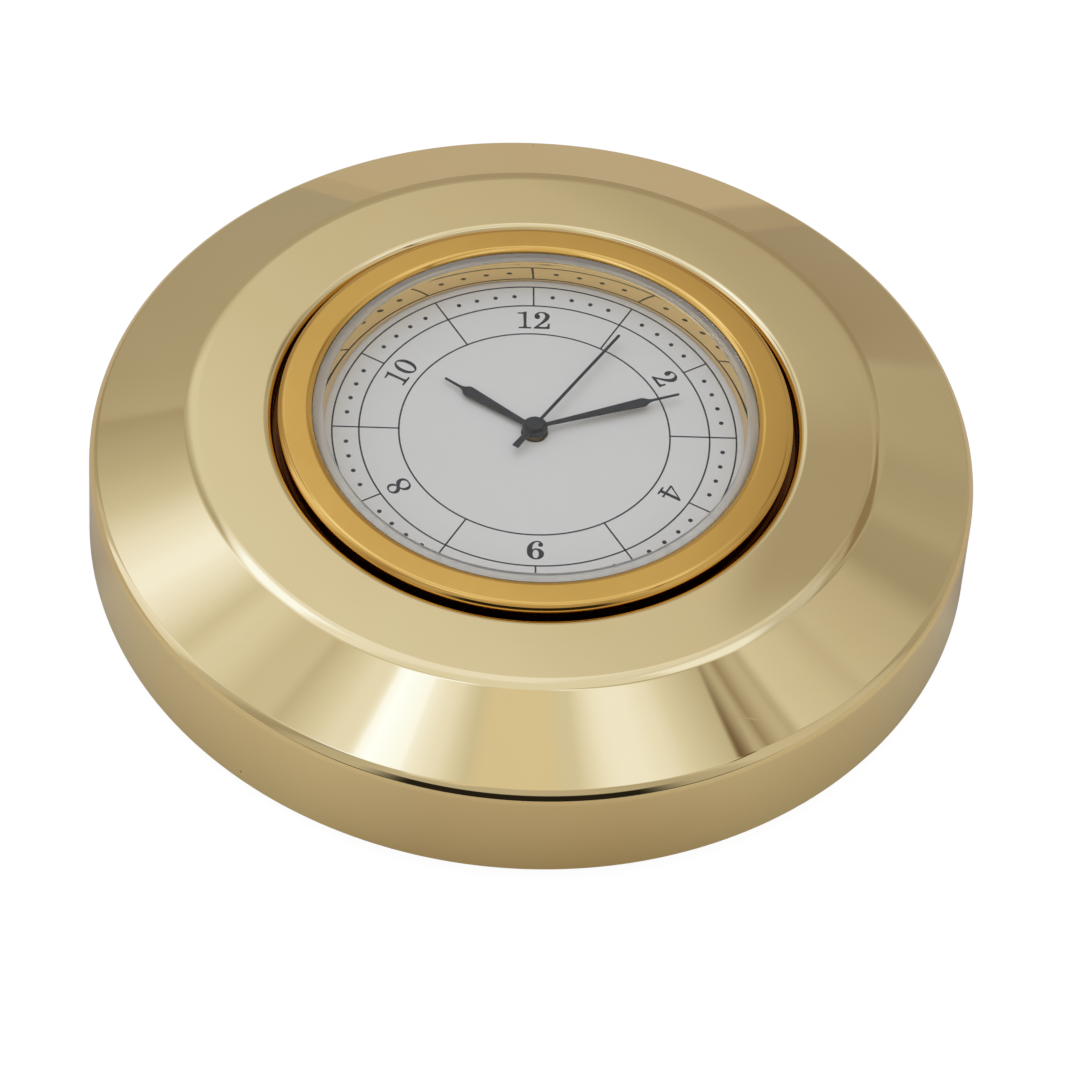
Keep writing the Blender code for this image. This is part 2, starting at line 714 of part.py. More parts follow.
def make_hands(black, hour_body, minute_body, second_body):
    """Hour, minute and second hands."""
    collar = HAND_SPACING - FIT_GAP
    hour_hub = HOUR_PIPE_RADIUS + HUB_MARGIN
    blade = hand_outline(
        hour_hub,
        HOUR_HAND_ROOT,
        HOUR_HAND_WIDTH,
        HOUR_HAND_WIDEST_AT,
        HOUR_NEEDLE_FROM,
        HOUR_HAND_LENGTH,
    )
    bore = HOUR_PIPE_RADIUS + RUN_GAP
    mesh = hand(blade, HOUR_HAND_Z, hour_hub - FIT_GAP, bore, collar, HOUR_HAND_ANGLE)
    piece("hour_hand", mesh, black, parent=hour_body)

    minute_hub = CANNON_RADIUS + HUB_MARGIN
    blade = hand_outline(
        minute_hub,
        MINUTE_HAND_ROOT,
        MINUTE_HAND_WIDTH,
        MINUTE_HAND_WIDEST_AT,
        MINUTE_NEEDLE_FROM,
        MINUTE_HAND_LENGTH,
    )
    bore = CANNON_RADIUS + RUN_GAP
    mesh = hand(blade, MINUTE_HAND_Z, minute_hub - FIT_GAP, bore, collar, MINUTE_HAND_ANGLE)
    piece("minute_hand", mesh, black, parent=minute_body)

    second_hub = SECONDS_ARBOR_RADIUS + HUB_MARGIN
    sheet_top = SECOND_HAND_Z + HAND_SHEET
    boss = circle(second_hub - RUN_GAP, MIDDLE_ROUND)
    levels = [
        (second_outline(second_hub), SECOND_HAND_Z, sheet_top),
        (boss, sheet_top, SECOND_HAND_Z + HUB_STEP),
    ]
    mesh = moved(stack(levels), turn=90.0 - SECOND_HAND_ANGLE)
    piece("second_hand", mesh, black, parent=second_body)


def second_outline(hub):
    """The needle second hand along +X, with its widening tail."""
    needle = SECOND_HAND_WIDTH / 2
    tail_root = SECOND_HAND_WIDTH
    tail = SECOND_TAIL_WIDTH / 2
    front = math.degrees(math.asin(needle / hub))
    back = math.degrees(math.asin(tail_root / hub))
    points = arc(hub, front, 180.0 - back, 10)
    points += [(-SECOND_HAND_TAIL, tail), (-SECOND_HAND_TAIL, -tail)]
    points += arc(hub, 180.0 + back, 360.0 - front, 10)
    points += [(SECOND_HAND_LENGTH, -needle), (SECOND_HAND_LENGTH, needle)]
    return points


def make_plates(plastic, insert):
    """Main plate, train bridge and the spacer ring that centres them in the cup."""
    battery_hole = circle(BATTERY_RADIUS + SEAT_GAP, MIDDLE_ROUND, BATTERY_PLACE)
    pivot = PIVOT_RADIUS + RUN_GAP
    places = (STEP_PLACE, THIRD_PLACE, ROTOR_PLACE)
    pivots = [circle(pivot, PIVOT_ROUND, place) for place in places]
    shank = SCREW_SHANK_RADIUS + RUN_GAP
    setting_hole = circle(ARBOR_RADIUS + 2 * RUN_GAP, SMALL_ROUND, SETTING_PLACE)
    walls = [
        (circle(PLATE_RADIUS, LARGE_ROUND), PLATE_BASE, PLATE_TOP),
        (battery_hole, PLATE_BASE, PLATE_TOP),
        (circle(CENTRE_TUBE_RADIUS + RUN_GAP, MIDDLE_ROUND), PLATE_BASE, PLATE_TOP),
        (setting_hole, PLATE_BASE, PLATE_TOP),
        *[(hole, PLATE_BASE, PLATE_TOP) for hole in pivots],
    ]
    for place in DIAL_FEET:
        hole = circle(DIAL_FOOT_RADIUS + RUN_GAP, PIVOT_ROUND, place)
        walls.append((hole, PLATE_BASE, PLATE_TOP))
    seats = [(place, BRIDGE_TOP + FIT_GAP) for place in BRIDGE_PILLARS.values()]
    seats += [(place, BRIDGE_TOP + FIT_GAP) for place in BOARD_PILLARS.values()]
    seats += [(place, STATOR_Z + STATOR_THICKNESS + FIT_GAP) for place in COIL_ENDS.values()]
    for place, seat in seats:
        walls.append((circle(PILLAR_RADIUS, SMALL_ROUND, place), seat, PLATE_BASE))
        walls.append((circle(shank, PIVOT_ROUND, place), seat, PLATE_TOP))
    stud = circle(ARBOR_RADIUS, SMALL_ROUND, MINUTE_WHEEL_PLACE)
    walls.append((stud, PLATE_TOP, HOUR_WHEEL_Z + WHEEL_THICKNESS))
    piece("main_plate", terraced(walls), plastic, parent=insert)

    bridge_holes = [
        circle(SECONDS_ARBOR_RADIUS + RUN_GAP, SMALL_ROUND),
        setting_hole,
        *pivots,
        *[circle(shank, PIVOT_ROUND, place) for place in BRIDGE_PILLARS.values()],
    ]
    bridge = slab(bridge_outline(), BRIDGE_BASE, BRIDGE_TOP, bridge_holes)
    piece("train_bridge", bridge, plastic, parent=insert)

    ledge = PLATE_BASE - FIT_GAP
    spacer = [
        (SPACER_RADIUS, COVER_TOP + FIT_GAP),
        (SPACER_RADIUS, DIAL_BASE - FIT_GAP),
        (SPACER_BORE_RADIUS, DIAL_BASE - FIT_GAP),
        (SPACER_BORE_RADIUS, ledge),
        (SPACER_BORE_RADIUS - SPACER_LEDGE, ledge),
        (SPACER_BORE_RADIUS - SPACER_LEDGE, COVER_TOP + FIT_GAP),
    ]
    piece("movement_spacer", turned(spacer), plastic, parent=insert)


def bridge_outline():
    """The train bridge in plan: a disc with a round bite for the battery."""
    bite = BATTERY_RADIUS + 2 * SEAT_GAP
    reach = BATTERY_DISTANCE
    at_centre = (reach ** 2 + BRIDGE_RADIUS ** 2 - bite ** 2) / (2 * reach * BRIDGE_RADIUS)
    at_battery = (reach ** 2 + bite ** 2 - BRIDGE_RADIUS ** 2) / (2 * reach * bite)
    open_half = math.degrees(math.acos(at_centre))
    bite_half = math.degrees(math.acos(at_battery))
    facing = BATTERY_DIRECTION
    points = arc(BRIDGE_RADIUS, facing + open_half, facing + 360.0 - open_half, 32)
    inward = facing + 180.0
    bitten = arc(bite, inward + bite_half, inward - bite_half, 10, BATTERY_PLACE)
    return points + bitten[1:-1]


def arbor_levels(wheels):
    """The arbor of a train wheel from its lower pivot to its upper one, with its wheels on it."""
    pivot = circle(PIVOT_RADIUS, PIVOT_ROUND)
    shaft = circle(ARBOR_RADIUS, SMALL_ROUND)
    height = BRIDGE_TOP + RUN_GAP
    levels = [(pivot, BRIDGE_BASE + RUN_GAP, height)]
    for outline, start, end in wheels:
        levels.append((shaft, height, start))
        levels.append((outline, start, end))
        height = end
    shoulder = PLATE_BASE - RUN_GAP
    levels.append((shaft, height, shoulder))
    levels.append((pivot, shoulder, PLATE_BASE + PLATE_THICKNESS / 2))
    return levels


def make_train(brass, steel, plastic, bodies):
    """Rotor, step wheel, seconds wheel, third wheel and centre wheel."""
    rotor_module = module_for(ROTOR_CENTRES, ROTOR_LEAVES, STEP_WHEEL_TEETH)
    step_module = module_for(TRAIN_CENTRES, STEP_PINION_LEAVES, SECONDS_WHEEL_TEETH)
    third_module = module_for(TRAIN_CENTRES, SECONDS_PINION_LEAVES, THIRD_WHEEL_TEETH)
    centre_module = module_for(TRAIN_CENTRES, THIRD_PINION_LEAVES, CENTRE_WHEEL_TEETH)
    seconds_top = SECONDS_WHEEL_Z + WHEEL_THICKNESS
    step_top = STEP_WHEEL_Z + WHEEL_THICKNESS
    third_top = THIRD_WHEEL_Z + WHEEL_THICKNESS
    centre_top = CENTRE_WHEEL_Z + WHEEL_THICKNESS

    pinion_low = THIRD_WHEEL_Z - PINION_MARGIN
    pinion_high = third_top + PINION_MARGIN
    arbor = circle(SECONDS_ARBOR_RADIUS, SMALL_ROUND)
    pinion = pinion_outline(SECONDS_PINION_LEAVES, third_module, THIRD_DIRECTION)
    wheel = wheel_outline(SECONDS_WHEEL_TEETH, step_module, STEP_DIRECTION)
    levels = [
        (arbor, BRIDGE_BASE + RUN_GAP, SECONDS_WHEEL_Z),
        (wheel, SECONDS_WHEEL_Z, seconds_top),
        (arbor, seconds_top, pinion_low),
        (pinion, pinion_low, pinion_high),
        (arbor, pinion_high, SECOND_HAND_Z - RUN_GAP),
        *spokes(SECONDS_WHEEL_TEETH, step_module, SECONDS_WHEEL_Z),
    ]
    piece("seconds_wheel", terraced(levels), brass, parent=bodies["second"])

    wheel = wheel_outline(THIRD_WHEEL_TEETH, third_module, THIRD_DIRECTION + 180.0)
    pinion = pinion_outline(THIRD_PINION_LEAVES, centre_module, THIRD_DIRECTION + 180.0)
    levels = arbor_levels([
        (wheel, THIRD_WHEEL_Z, third_top),
        (pinion, CENTRE_WHEEL_Z - PINION_MARGIN, centre_top + PINION_MARGIN),
    ])
    levels += spokes(THIRD_WHEEL_TEETH, third_module, THIRD_WHEEL_Z)
    piece("third_wheel", terraced(levels), brass, THIRD_PLACE, bodies["third"])

    wheel = wheel_outline(CENTRE_WHEEL_TEETH, centre_module, THIRD_DIRECTION)
    tube_top = CANNON_Z - RUN_GAP
    levels = [
        (wheel, CENTRE_WHEEL_Z, centre_top),
        (circle(CENTRE_TUBE_RADIUS, MIDDLE_ROUND), centre_top, tube_top),
        (circle(SECONDS_ARBOR_RADIUS + RUN_GAP, MIDDLE_ROUND), CENTRE_WHEEL_Z, tube_top),
        *spokes(CENTRE_WHEEL_TEETH, centre_module, CENTRE_WHEEL_Z),
    ]
    piece("centre_wheel", terraced(levels), brass, parent=bodies["centre"])

    pinion = pinion_outline(STEP_PINION_LEAVES, step_module, STEP_DIRECTION + 180.0)
    wheel = wheel_outline(STEP_WHEEL_TEETH, rotor_module, ROTOR_DIRECTION)
    levels = arbor_levels([
        (pinion, SECONDS_WHEEL_Z, seconds_top + PINION_MARGIN),
        (wheel, STEP_WHEEL_Z, step_top),
    ])
    piece("step_wheel", terraced(levels), plastic, STEP_PLACE, bodies["step"])

    pinion = pinion_outline(ROTOR_LEAVES, rotor_module, ROTOR_DIRECTION + 180.0)
    levels = arbor_levels([(pinion, STEP_WHEEL_Z - PINION_MARGIN, step_top + PINION_MARGIN)])
    piece("rotor_pinion", terraced(levels), plastic, ROTOR_PLACE, bodies["rotor"])
    magnet_base = STATOR_Z + (STATOR_THICKNESS - MAGNET_THICKNESS) / 2
    disc = [(circle(MAGNET_RADIUS, MIDDLE_ROUND), magnet_base, magnet_base + MAGNET_THICKNESS)]
    magnet = stack(disc, ARBOR_RADIUS + RUN_GAP)
    piece("rotor_magnet", magnet, steel, ROTOR_PLACE, bodies["rotor"])


def make_motion_work(brass, plastic, bodies):
    """Cannon pinion, minute wheel, hour wheel, setting arbor and knob."""
    minute_module = module_for(MOTION_CENTRES, CANNON_LEAVES, MINUTE_WHEEL_TEETH)
    hour_module = module_for(MOTION_CENTRES, MINUTE_PINION_LEAVES, HOUR_WHEEL_TEETH)
    wheel_top = MINUTE_WHEEL_Z + WHEEL_THICKNESS
    cannon = pinion_outline(CANNON_LEAVES, minute_module, SETTING_DIRECTION)
    leaves_top = wheel_top + RUN_GAP
    levels = [
        (cannon, CANNON_Z, leaves_top),
        (circle(CANNON_RADIUS, MIDDLE_ROUND), leaves_top, MINUTE_HAND_Z + HAND_SHEET),
    ]
    mesh = stack(levels, SECONDS_ARBOR_RADIUS + RUN_GAP)
    piece("cannon_pinion", mesh, brass, parent=bodies["minute"])

    hour_top = HOUR_WHEEL_Z + WHEEL_THICKNESS
    wheel = wheel_outline(MINUTE_WHEEL_TEETH, minute_module, SETTING_DIRECTION + 180.0)
    pinion = pinion_outline(MINUTE_PINION_LEAVES, hour_module, SETTING_DIRECTION + 180.0)
    levels = [
        (wheel, MINUTE_WHEEL_Z, wheel_top),
        (pinion, wheel_top, hour_top + RUN_GAP),
    ]
    mesh = stack(levels, ARBOR_RADIUS + RUN_GAP)
    piece("minute_wheel", mesh, plastic, MINUTE_WHEEL_PLACE, bodies["minute_wheel"])

    wheel = wheel_outline(HOUR_WHEEL_TEETH, hour_module, SETTING_DIRECTION)
    levels = [
        (wheel, HOUR_WHEEL_Z, hour_top),
        (circle(HOUR_PIPE_RADIUS, MIDDLE_ROUND), hour_top, HOUR_HAND_Z + HAND_SHEET),
    ]
    mesh = stack(levels, CANNON_RADIUS + RUN_GAP, MIDDLE_ROUND)
    piece("hour_wheel", mesh, brass, parent=bodies["hour"])

    knob_base = CUP_BASE - KNOB_PROUD
    knob_top = knob_base + KNOB_HEIGHT
    socket_base = knob_base + KNOB_HEIGHT / 2
    pinion = pinion_outline(SETTING_LEAVES, minute_module, SETTING_DIRECTION + 180.0)
    levels = [
        (circle(ARBOR_RADIUS, SMALL_ROUND), socket_base + FIT_GAP, CANNON_Z),
        (pinion, CANNON_Z, leaves_top),
    ]
    piece("setting_arbor", stack(levels), brass, SETTING_PLACE, bodies["setting"])
    grip = []
    for index in range(2 * KNOB_FLUTES):
        turn = math.pi * index / KNOB_FLUTES
        radius = KNOB_RADIUS if index % 2 else KNOB_RADIUS - KNOB_FLUTE_DEPTH
        grip.append((radius * math.cos(turn), radius * math.sin(turn)))
    walls = [
        (grip, knob_base, knob_top),
        (circle(ARBOR_RADIUS + RUN_GAP), socket_base, knob_top),
        (circle(KNOB_RADIUS / 2, MIDDLE_ROUND), knob_base, knob_base + KNOB_DISH),
    ]
    piece("setting_knob", terraced(walls), plastic, SETTING_PLACE, bodies["setting"])


def stator_outline():
    """The stator in plan: a limb beside the coil, an eye round the rotor and two pads."""
    pad = STATOR_ARM_WIDTH / 2
    low, high = COIL_ENDS["lower"], COIL_ENDS["upper"]
    inner = COIL_LINE_X + BOBBIN_FLANGE_RADIUS + SEAT_GAP
    outer = inner + STATOR_ARM_WIDTH
    eye = STATOR_EYE_RADIUS + STATOR_EYE_WALL
    points = arc(pad, 90.0, 270.0, 5, low)
    points.append((outer, low[1] - pad))
    points += arc(eye, -110.0, 110.0, 14, ROTOR_PLACE)
    points.append((outer, high[1] + pad))
    points += arc(pad, 90.0, 270.0, 5, high)
    points += [(inner, high[1] - pad), (inner, low[1] + pad)]
    return points


def make_motor(steel, copper, plastic, insert):
    """Stator, coil core, bobbin and winding."""
    shank = SCREW_SHANK_RADIUS + RUN_GAP
    holes = [circle(shank, PIVOT_ROUND, end) for end in COIL_ENDS.values()]
    eye = circle(STATOR_EYE_RADIUS, MIDDLE_ROUND, ROTOR_PLACE)
    stator = slab(stator_outline(), STATOR_Z, STATOR_Z + STATOR_THICKNESS, [eye, *holes])
    piece("stator", stator, steel, parent=insert)

    core_top = STATOR_Z - RUN_GAP
    core_base = core_top - STATOR_THICKNESS
    half = CORE_WIDTH / 2
    pad = STATOR_ARM_WIDTH / 2
    neck = 90.0 - math.degrees(math.asin(half / pad))
    outline = arc(pad, 180.0 - neck, 360.0 + neck, 10, COIL_ENDS["lower"])
    outline += arc(pad, -neck, 180.0 + neck, 10, COIL_ENDS["upper"])
    piece("coil_core", slab(outline, core_base, core_top, holes), steel, parent=insert)

    place = (COIL_LINE_X, (COIL_START_Y + COIL_END_Y) / 2, (core_base + core_top) / 2)
    end = BOBBIN_LENGTH / 2
    inside = end - BOBBIN_FLANGE
    across = half + RUN_GAP
    through = STATOR_THICKNESS / 2 + RUN_GAP
    channel = [(-across, -through), (across, -through), (across, through), (-across, through)]
    flange = circle(BOBBIN_FLANGE_RADIUS, COIL_ROUND)
    walls = [
        (flange, -end, -inside),
        (circle(BOBBIN_RADIUS, COIL_ROUND), -inside, inside),
        (flange, inside, end),
        (channel, -end, end),
    ]
    mesh = moved(terraced(walls), place, 90.0, "X")
    piece("coil_bobbin", mesh, plastic, parent=insert)
    wound = inside - RUN_GAP
    layers = [(circle(WINDING_RADIUS, COIL_ROUND), -wound, wound)]
    mesh = stack(layers, BOBBIN_RADIUS + RUN_GAP, COIL_ROUND)
    piece("coil_winding", moved(mesh, place, 90.0, "X"), copper, parent=insert)


def make_electrics(steel, green, black, insert):
    """Battery, its two contacts, the circuit board, the chip and the quartz can."""
    battery_base = COVER_TOP + RUN_GAP + CAP_LUG_THICKNESS + FIT_GAP
    battery_top = battery_base + BATTERY_HEIGHT
    rim = BATTERY_RADIUS - BATTERY_RIM_STEP
    cell = [
        (0.0, battery_base),
        (BATTERY_RADIUS, battery_base, BATTERY_EDGE, 2),
        (BATTERY_RADIUS, battery_top - BATTERY_EDGE, BATTERY_EDGE / 2, 1),
        (rim, battery_top - BATTERY_EDGE),
        (rim, battery_top),
        (0.0, battery_top),
    ]
    mesh = turned(rounded(cell, closed=False), MIDDLE_ROUND, closed=False)
    piece("battery", mesh, steel, BATTERY_PLACE, insert)

    strip_base = battery_top + FIT_GAP
    half = CONTACT_WIDTH / 2
    reach = BATTERY_RADIUS + CONTACT_REACH
    strip = arc(half, 90.0, 270.0, 6) + [(reach, -half), (reach, half)]
    mesh = slab(strip, strip_base, strip_base + CONTACT_SHEET)
    mesh = moved(mesh, turn=BATTERY_DIRECTION - 105.0)
    piece("negative_contact", mesh, steel, BATTERY_PLACE, insert)

    inner = BATTERY_RADIUS + FIT_GAP
    clip = arc(inner + CONTACT_SHEET, -CLIP_SPAN / 2, CLIP_SPAN / 2, 6)
    clip += reversed(arc(inner, -CLIP_SPAN / 2, CLIP_SPAN / 2, 6))
    clip_top = PLATE_BASE - FIT_GAP
    mesh = moved(slab(clip, clip_top - CLIP_HEIGHT, clip_top), turn=BATTERY_DIRECTION - 150.0)
    piece("positive_contact", mesh, steel, BATTERY_PLACE, insert)

    board_top = BRIDGE_TOP
    board_base = board_top - BOARD_THICKNESS
    outline = arc(BOARD_OUTER_RADIUS, BOARD_START, BOARD_END, 16)
    outline += reversed(arc(BOARD_INNER_RADIUS, BOARD_START, BOARD_END, 12))
    shank = SCREW_SHANK_RADIUS + RUN_GAP
    holes = [circle(shank, PIVOT_ROUND, place) for place in BOARD_PILLARS.values()]
    piece("circuit_board", slab(outline, board_base, board_top, holes), green, parent=insert)
    chip_top = board_base - RUN_GAP
    dome = [
        (0.0, chip_top),
        (CHIP_RADIUS, chip_top),
        (CHIP_RADIUS * 0.8, chip_top - CHIP_HEIGHT * 0.7),
        (CHIP_RADIUS * 0.45, chip_top - CHIP_HEIGHT),
        (0.0, chip_top - CHIP_HEIGHT),
    ]
    mesh = turned(dome, COIL_ROUND, closed=False)
    piece("driver_chip", mesh, black, polar(BOARD_MIDDLE, CHIP_DIRECTION), insert)
    can = drum(QUARTZ_RADIUS, -QUARTZ_LENGTH / 2, QUARTZ_LENGTH / 2, SMALL_ROUND)
    can = moved(can, turn=90.0, axis="X")
    can = moved(can, (0.0, 0.0, board_base - RUN_GAP - QUARTZ_RADIUS), QUARTZ_DIRECTION)
    piece("quartz_can", can, steel, polar(BOARD_MIDDLE, QUARTZ_DIRECTION), insert)


def screw_mesh(head_base, tip):
    """A small screw, head down, with a cross recess in its head."""
    head_top = head_base + SCREW_HEAD_HEIGHT
    half = SCREW_SLOT_WIDTH / 2
    reach = SCREW_HEAD_RADIUS * 0.7
    cross = []
    for quarter in range(4):
        turn = Matrix.Rotation(math.radians(90.0 * quarter), 2)
        for corner in ((reach, -half), (reach, half), (half, half)):
            cross.append(tuple(turn @ Vector(corner)))
    return terraced([
        (circle(SCREW_HEAD_RADIUS), head_base, head_top),
        (cross, head_base, head_base + SCREW_HEAD_HEIGHT / 2),
        (circle(SCREW_SHANK_RADIUS, PIVOT_ROUND), head_top, tip),
    ])


def make_screws(steel, insert):
    """The screws of the bridge, the board and the coil."""
    tip = PLATE_TOP - FIT_GAP
    core_base = STATOR_Z - RUN_GAP - STATOR_THICKNESS
    board_base = BRIDGE_TOP - BOARD_THICKNESS
    groups = [
        ("bridge_screw", BRIDGE_PILLARS, BRIDGE_BASE),
        ("board_screw", BOARD_PILLARS, board_base),
        ("coil_screw", COIL_ENDS, core_base),
    ]
    for label, places, seat in groups:
        head_base = seat - RUN_GAP - SCREW_HEAD_HEIGHT
        for side, place in places.items():
            piece(f"{label}_{side}", screw_mesh(head_base, tip), steel, place, insert)


def build():
    """Make every piece."""
    clear_scene()
    brass = surface("polished_brass", (0.72, 0.52, 0.22), 0.12, 1.0)
    gold = surface("bezel_gold", (0.66, 0.42, 0.13), 0.28, 1.0)
    polished = surface("reflector_gold", (0.74, 0.55, 0.25), 0.08, 1.0)
    felt = surface("felt", (0.02, 0.05, 0.03), 0.95, 0.0)
    glass = surface("crystal_glass", (0.93, 0.96, 0.96), 0.02, 0.0)
    nylon = surface("gasket_nylon", (0.75, 0.76, 0.74), 0.45, 0.0)
    steel = surface("plated_steel", (0.62, 0.61, 0.58), 0.3, 1.0)
    rubber = surface("grip_rubber", (0.03, 0.03, 0.03), 0.75, 0.0)
    white = surface("dial_enamel", (0.62, 0.62, 0.62), 0.5, 0.0)
    black = surface("hand_black", (0.02, 0.02, 0.02), 0.4, 0.0)
    plate_plastic = surface("plate_plastic", (0.10, 0.10, 0.11), 0.5, 0.0)
    wheel_plastic = surface("wheel_plastic", (0.75, 0.73, 0.68), 0.45, 0.0)
    wheel_brass = surface("wheel_brass", (0.70, 0.52, 0.26), 0.3, 1.0)
    copper = surface("coil_copper", (0.58, 0.20, 0.10), 0.35, 1.0)
    board = surface("board_laminate", (0.05, 0.20, 0.09), 0.5, 0.0)

    insert = body("insert")
    bodies = {}
    for name, place in {
        "second": (0.0, 0.0),
        "minute": (0.0, 0.0),
        "hour": (0.0, 0.0),
        "centre": (0.0, 0.0),
        "third": THIRD_PLACE,
        "step": STEP_PLACE,
        "rotor": ROTOR_PLACE,
        "minute_wheel": MINUTE_WHEEL_PLACE,
        "setting": SETTING_PLACE,
        "battery_cap": BATTERY_PLACE,
    }.items():
        holder = body(f"{name}_axis")
        holder.location = (place[0], place[1], 0.0)
        holder.parent = insert
        bodies[name] = holder

    make_weight(brass, felt)
    make_case(gold, polished, steel, rubber, glass, nylon, insert)
    make_battery_cap(steel, bodies["battery_cap"])
    make_dial(white, insert)
    make_hands(black, bodies["hour"], bodies["minute"], bodies["second"])
    make_plates(plate_plastic, insert)
    make_train(wheel_brass, steel, wheel_plastic, bodies)
    make_motion_work(wheel_brass, wheel_plastic, bodies)
    make_motor(steel, copper, plate_plastic, insert)
    make_electrics(steel, board, black, insert)
    make_screws(steel, insert)


build()
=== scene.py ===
# %% [markdown]
# # A chart weight clock
#
# The real object is a turned brass weight that holds down the corner of a chart. A quartz clock sits in
# its bore. The CAD model gives every piece its size and place. This script keeps those, and gives each
# visible piece the roundness, edges, print and finish that the photograph shows.
#
# The frame is loaded first.

import math

import bmesh
import bpy
from mathutils import Matrix


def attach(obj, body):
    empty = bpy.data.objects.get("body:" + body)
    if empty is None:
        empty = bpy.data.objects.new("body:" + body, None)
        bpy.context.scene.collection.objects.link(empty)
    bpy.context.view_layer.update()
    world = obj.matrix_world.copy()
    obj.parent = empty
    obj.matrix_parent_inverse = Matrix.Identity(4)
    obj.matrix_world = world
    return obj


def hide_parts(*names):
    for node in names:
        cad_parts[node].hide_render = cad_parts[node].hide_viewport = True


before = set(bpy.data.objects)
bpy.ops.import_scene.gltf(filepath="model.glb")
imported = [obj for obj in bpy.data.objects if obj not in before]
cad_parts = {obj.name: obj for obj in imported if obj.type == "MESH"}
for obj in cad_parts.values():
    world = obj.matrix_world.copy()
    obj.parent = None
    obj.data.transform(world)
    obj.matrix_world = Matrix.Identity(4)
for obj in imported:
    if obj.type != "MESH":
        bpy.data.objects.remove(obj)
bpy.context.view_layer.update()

# %% [markdown]
# ## The camera
#
# A camera can be placed by eye, or worked out from the photograph. Here the round edges of the weight and
# the bezel gave it: each circle shows as an ellipse, and together they fix the lens, the height and the
# distance. The camera stands 49 degrees above the desk, a little rolled, and far away with a long lens.

# %% Photograph frame and camera
MM = 0.001
PHOTO_SIZE = 1080
FOCAL_PIXELS = 3954
SENSOR_MM = 36.0
CAMERA_ELEVATION = 49.10
CAMERA_ROLL = 4.50
CLOCK_HEADING = 3.75
CAMERA_DISTANCE = 389.4 * MM
CAMERA_SIDE = 1.15 * MM
CAMERA_RISE = -2.39 * MM
WEIGHT_BASE = 1.3 * MM


def turned(degrees, axis):
    """A rotation matrix from degrees."""
    return Matrix.Rotation(math.radians(degrees), 4, axis)


camera_data = bpy.data.cameras.new("camera")
camera_data.sensor_width = SENSOR_MM
camera_data.lens = SENSOR_MM * FOCAL_PIXELS / PHOTO_SIZE
camera_data.clip_start = 10 * MM
camera = bpy.data.objects.new("camera", camera_data)
bpy.context.scene.collection.objects.link(camera)
camera.matrix_world = (
    Matrix.Translation((0, 0, WEIGHT_BASE))
    @ turned(-CLOCK_HEADING, "Z")
    @ turned(90 - CAMERA_ELEVATION, "X")
    @ turned(CAMERA_ROLL, "Z")
    @ Matrix.Translation((CAMERA_SIDE, CAMERA_RISE, CAMERA_DISTANCE))
)
bpy.context.scene.camera = camera
bpy.context.scene.view_settings.view_transform = "Standard"
print("lens", round(camera_data.lens, 1), "mm, at", [round(x, 3) for x in camera.matrix_world.translation])

# %% [markdown]
# ## Helpers for nodes
#
# Node trees are quicker to read when each node is one short line. These helpers add a node, set its
# options and link its inputs. An input may be a plain number or another node's output.

# %% Node helpers


def add_node(tree, kind, **options):
    """A new node with its options set."""
    made = tree.nodes.new(kind)
    for name, value in options.items():
        setattr(made, name, value)
    return made


def feed(tree, socket, value):
    """Link an output to a socket, or set the socket's own value."""
    if isinstance(value, bpy.types.NodeSocket):
        tree.links.new(value, socket)
    else:
        socket.default_value = value


def adjust(node, **values):
    """Set a node's own input values. An underscore stands for a space in the input's name."""
    for name, value in values.items():
        node.inputs[name.replace("_", " ")].default_value = value


def calculate(tree, operation, *values):
    """A Math node's result."""
    made = add_node(tree, "ShaderNodeMath", operation=operation)
    for socket, value in zip(made.inputs, values):
        feed(tree, socket, value)
    return made.outputs[0]


def soft_step(tree, value, low, high):
    """0 below low and 1 above high, with a smooth change between. low may be the higher number."""
    made = add_node(tree, "ShaderNodeMapRange", interpolation_type="SMOOTHSTEP")
    if low > high:
        low, high = high, low
        adjust(made, To_Min=1.0, To_Max=0.0)
    adjust(made, From_Min=low, From_Max=high)
    feed(tree, made.inputs["Value"], value)
    return made.outputs["Result"]


def blend_colours(tree, share, first, second):
    """A colour between two others."""
    made = add_node(tree, "ShaderNodeMixRGB", blend_type="MIX")
    for label, value in (("Fac", share), ("Color1", first), ("Color2", second)):
        feed(tree, made.inputs[label], value)
    return made.outputs["Color"]


def times(tree, *masks):
    """The product of masks."""
    product = masks[0]
    for mask in masks[1:]:
        product = calculate(tree, "MULTIPLY", product, mask)
    return product


def between(tree, mask, low, high):
    """A number that goes from low to high as a mask goes from 0 to 1."""
    return calculate(tree, "ADD", calculate(tree, "MULTIPLY", mask, high - low), low)


def away_from(tree, value, middle):
    """How far a value is from a middle."""
    return calculate(tree, "ABSOLUTE", calculate(tree, "SUBTRACT", value, middle))


def split(tree, vector):
    """A vector's three parts."""
    made = add_node(tree, "ShaderNodeSeparateXYZ")
    tree.links.new(vector, made.inputs[0])
    return made.outputs


def object_place(tree):
    """A point of the surface in the piece's own coordinates."""
    return add_node(tree, "ShaderNodeTexCoord").outputs["Object"]


def from_axis(tree, place):
    """How far a point is from the clock's axis."""
    squares = [calculate(tree, "MULTIPLY", place[axis], place[axis]) for axis in "XY"]
    return calculate(tree, "SQRT", calculate(tree, "ADD", *squares))


def bearing_of(tree, place):
    """A point's compass direction in degrees, 0 straight behind and 90 to the right."""
    return calculate(tree, "DEGREES", calculate(tree, "ARCTAN2", place["X"], place["Y"]))


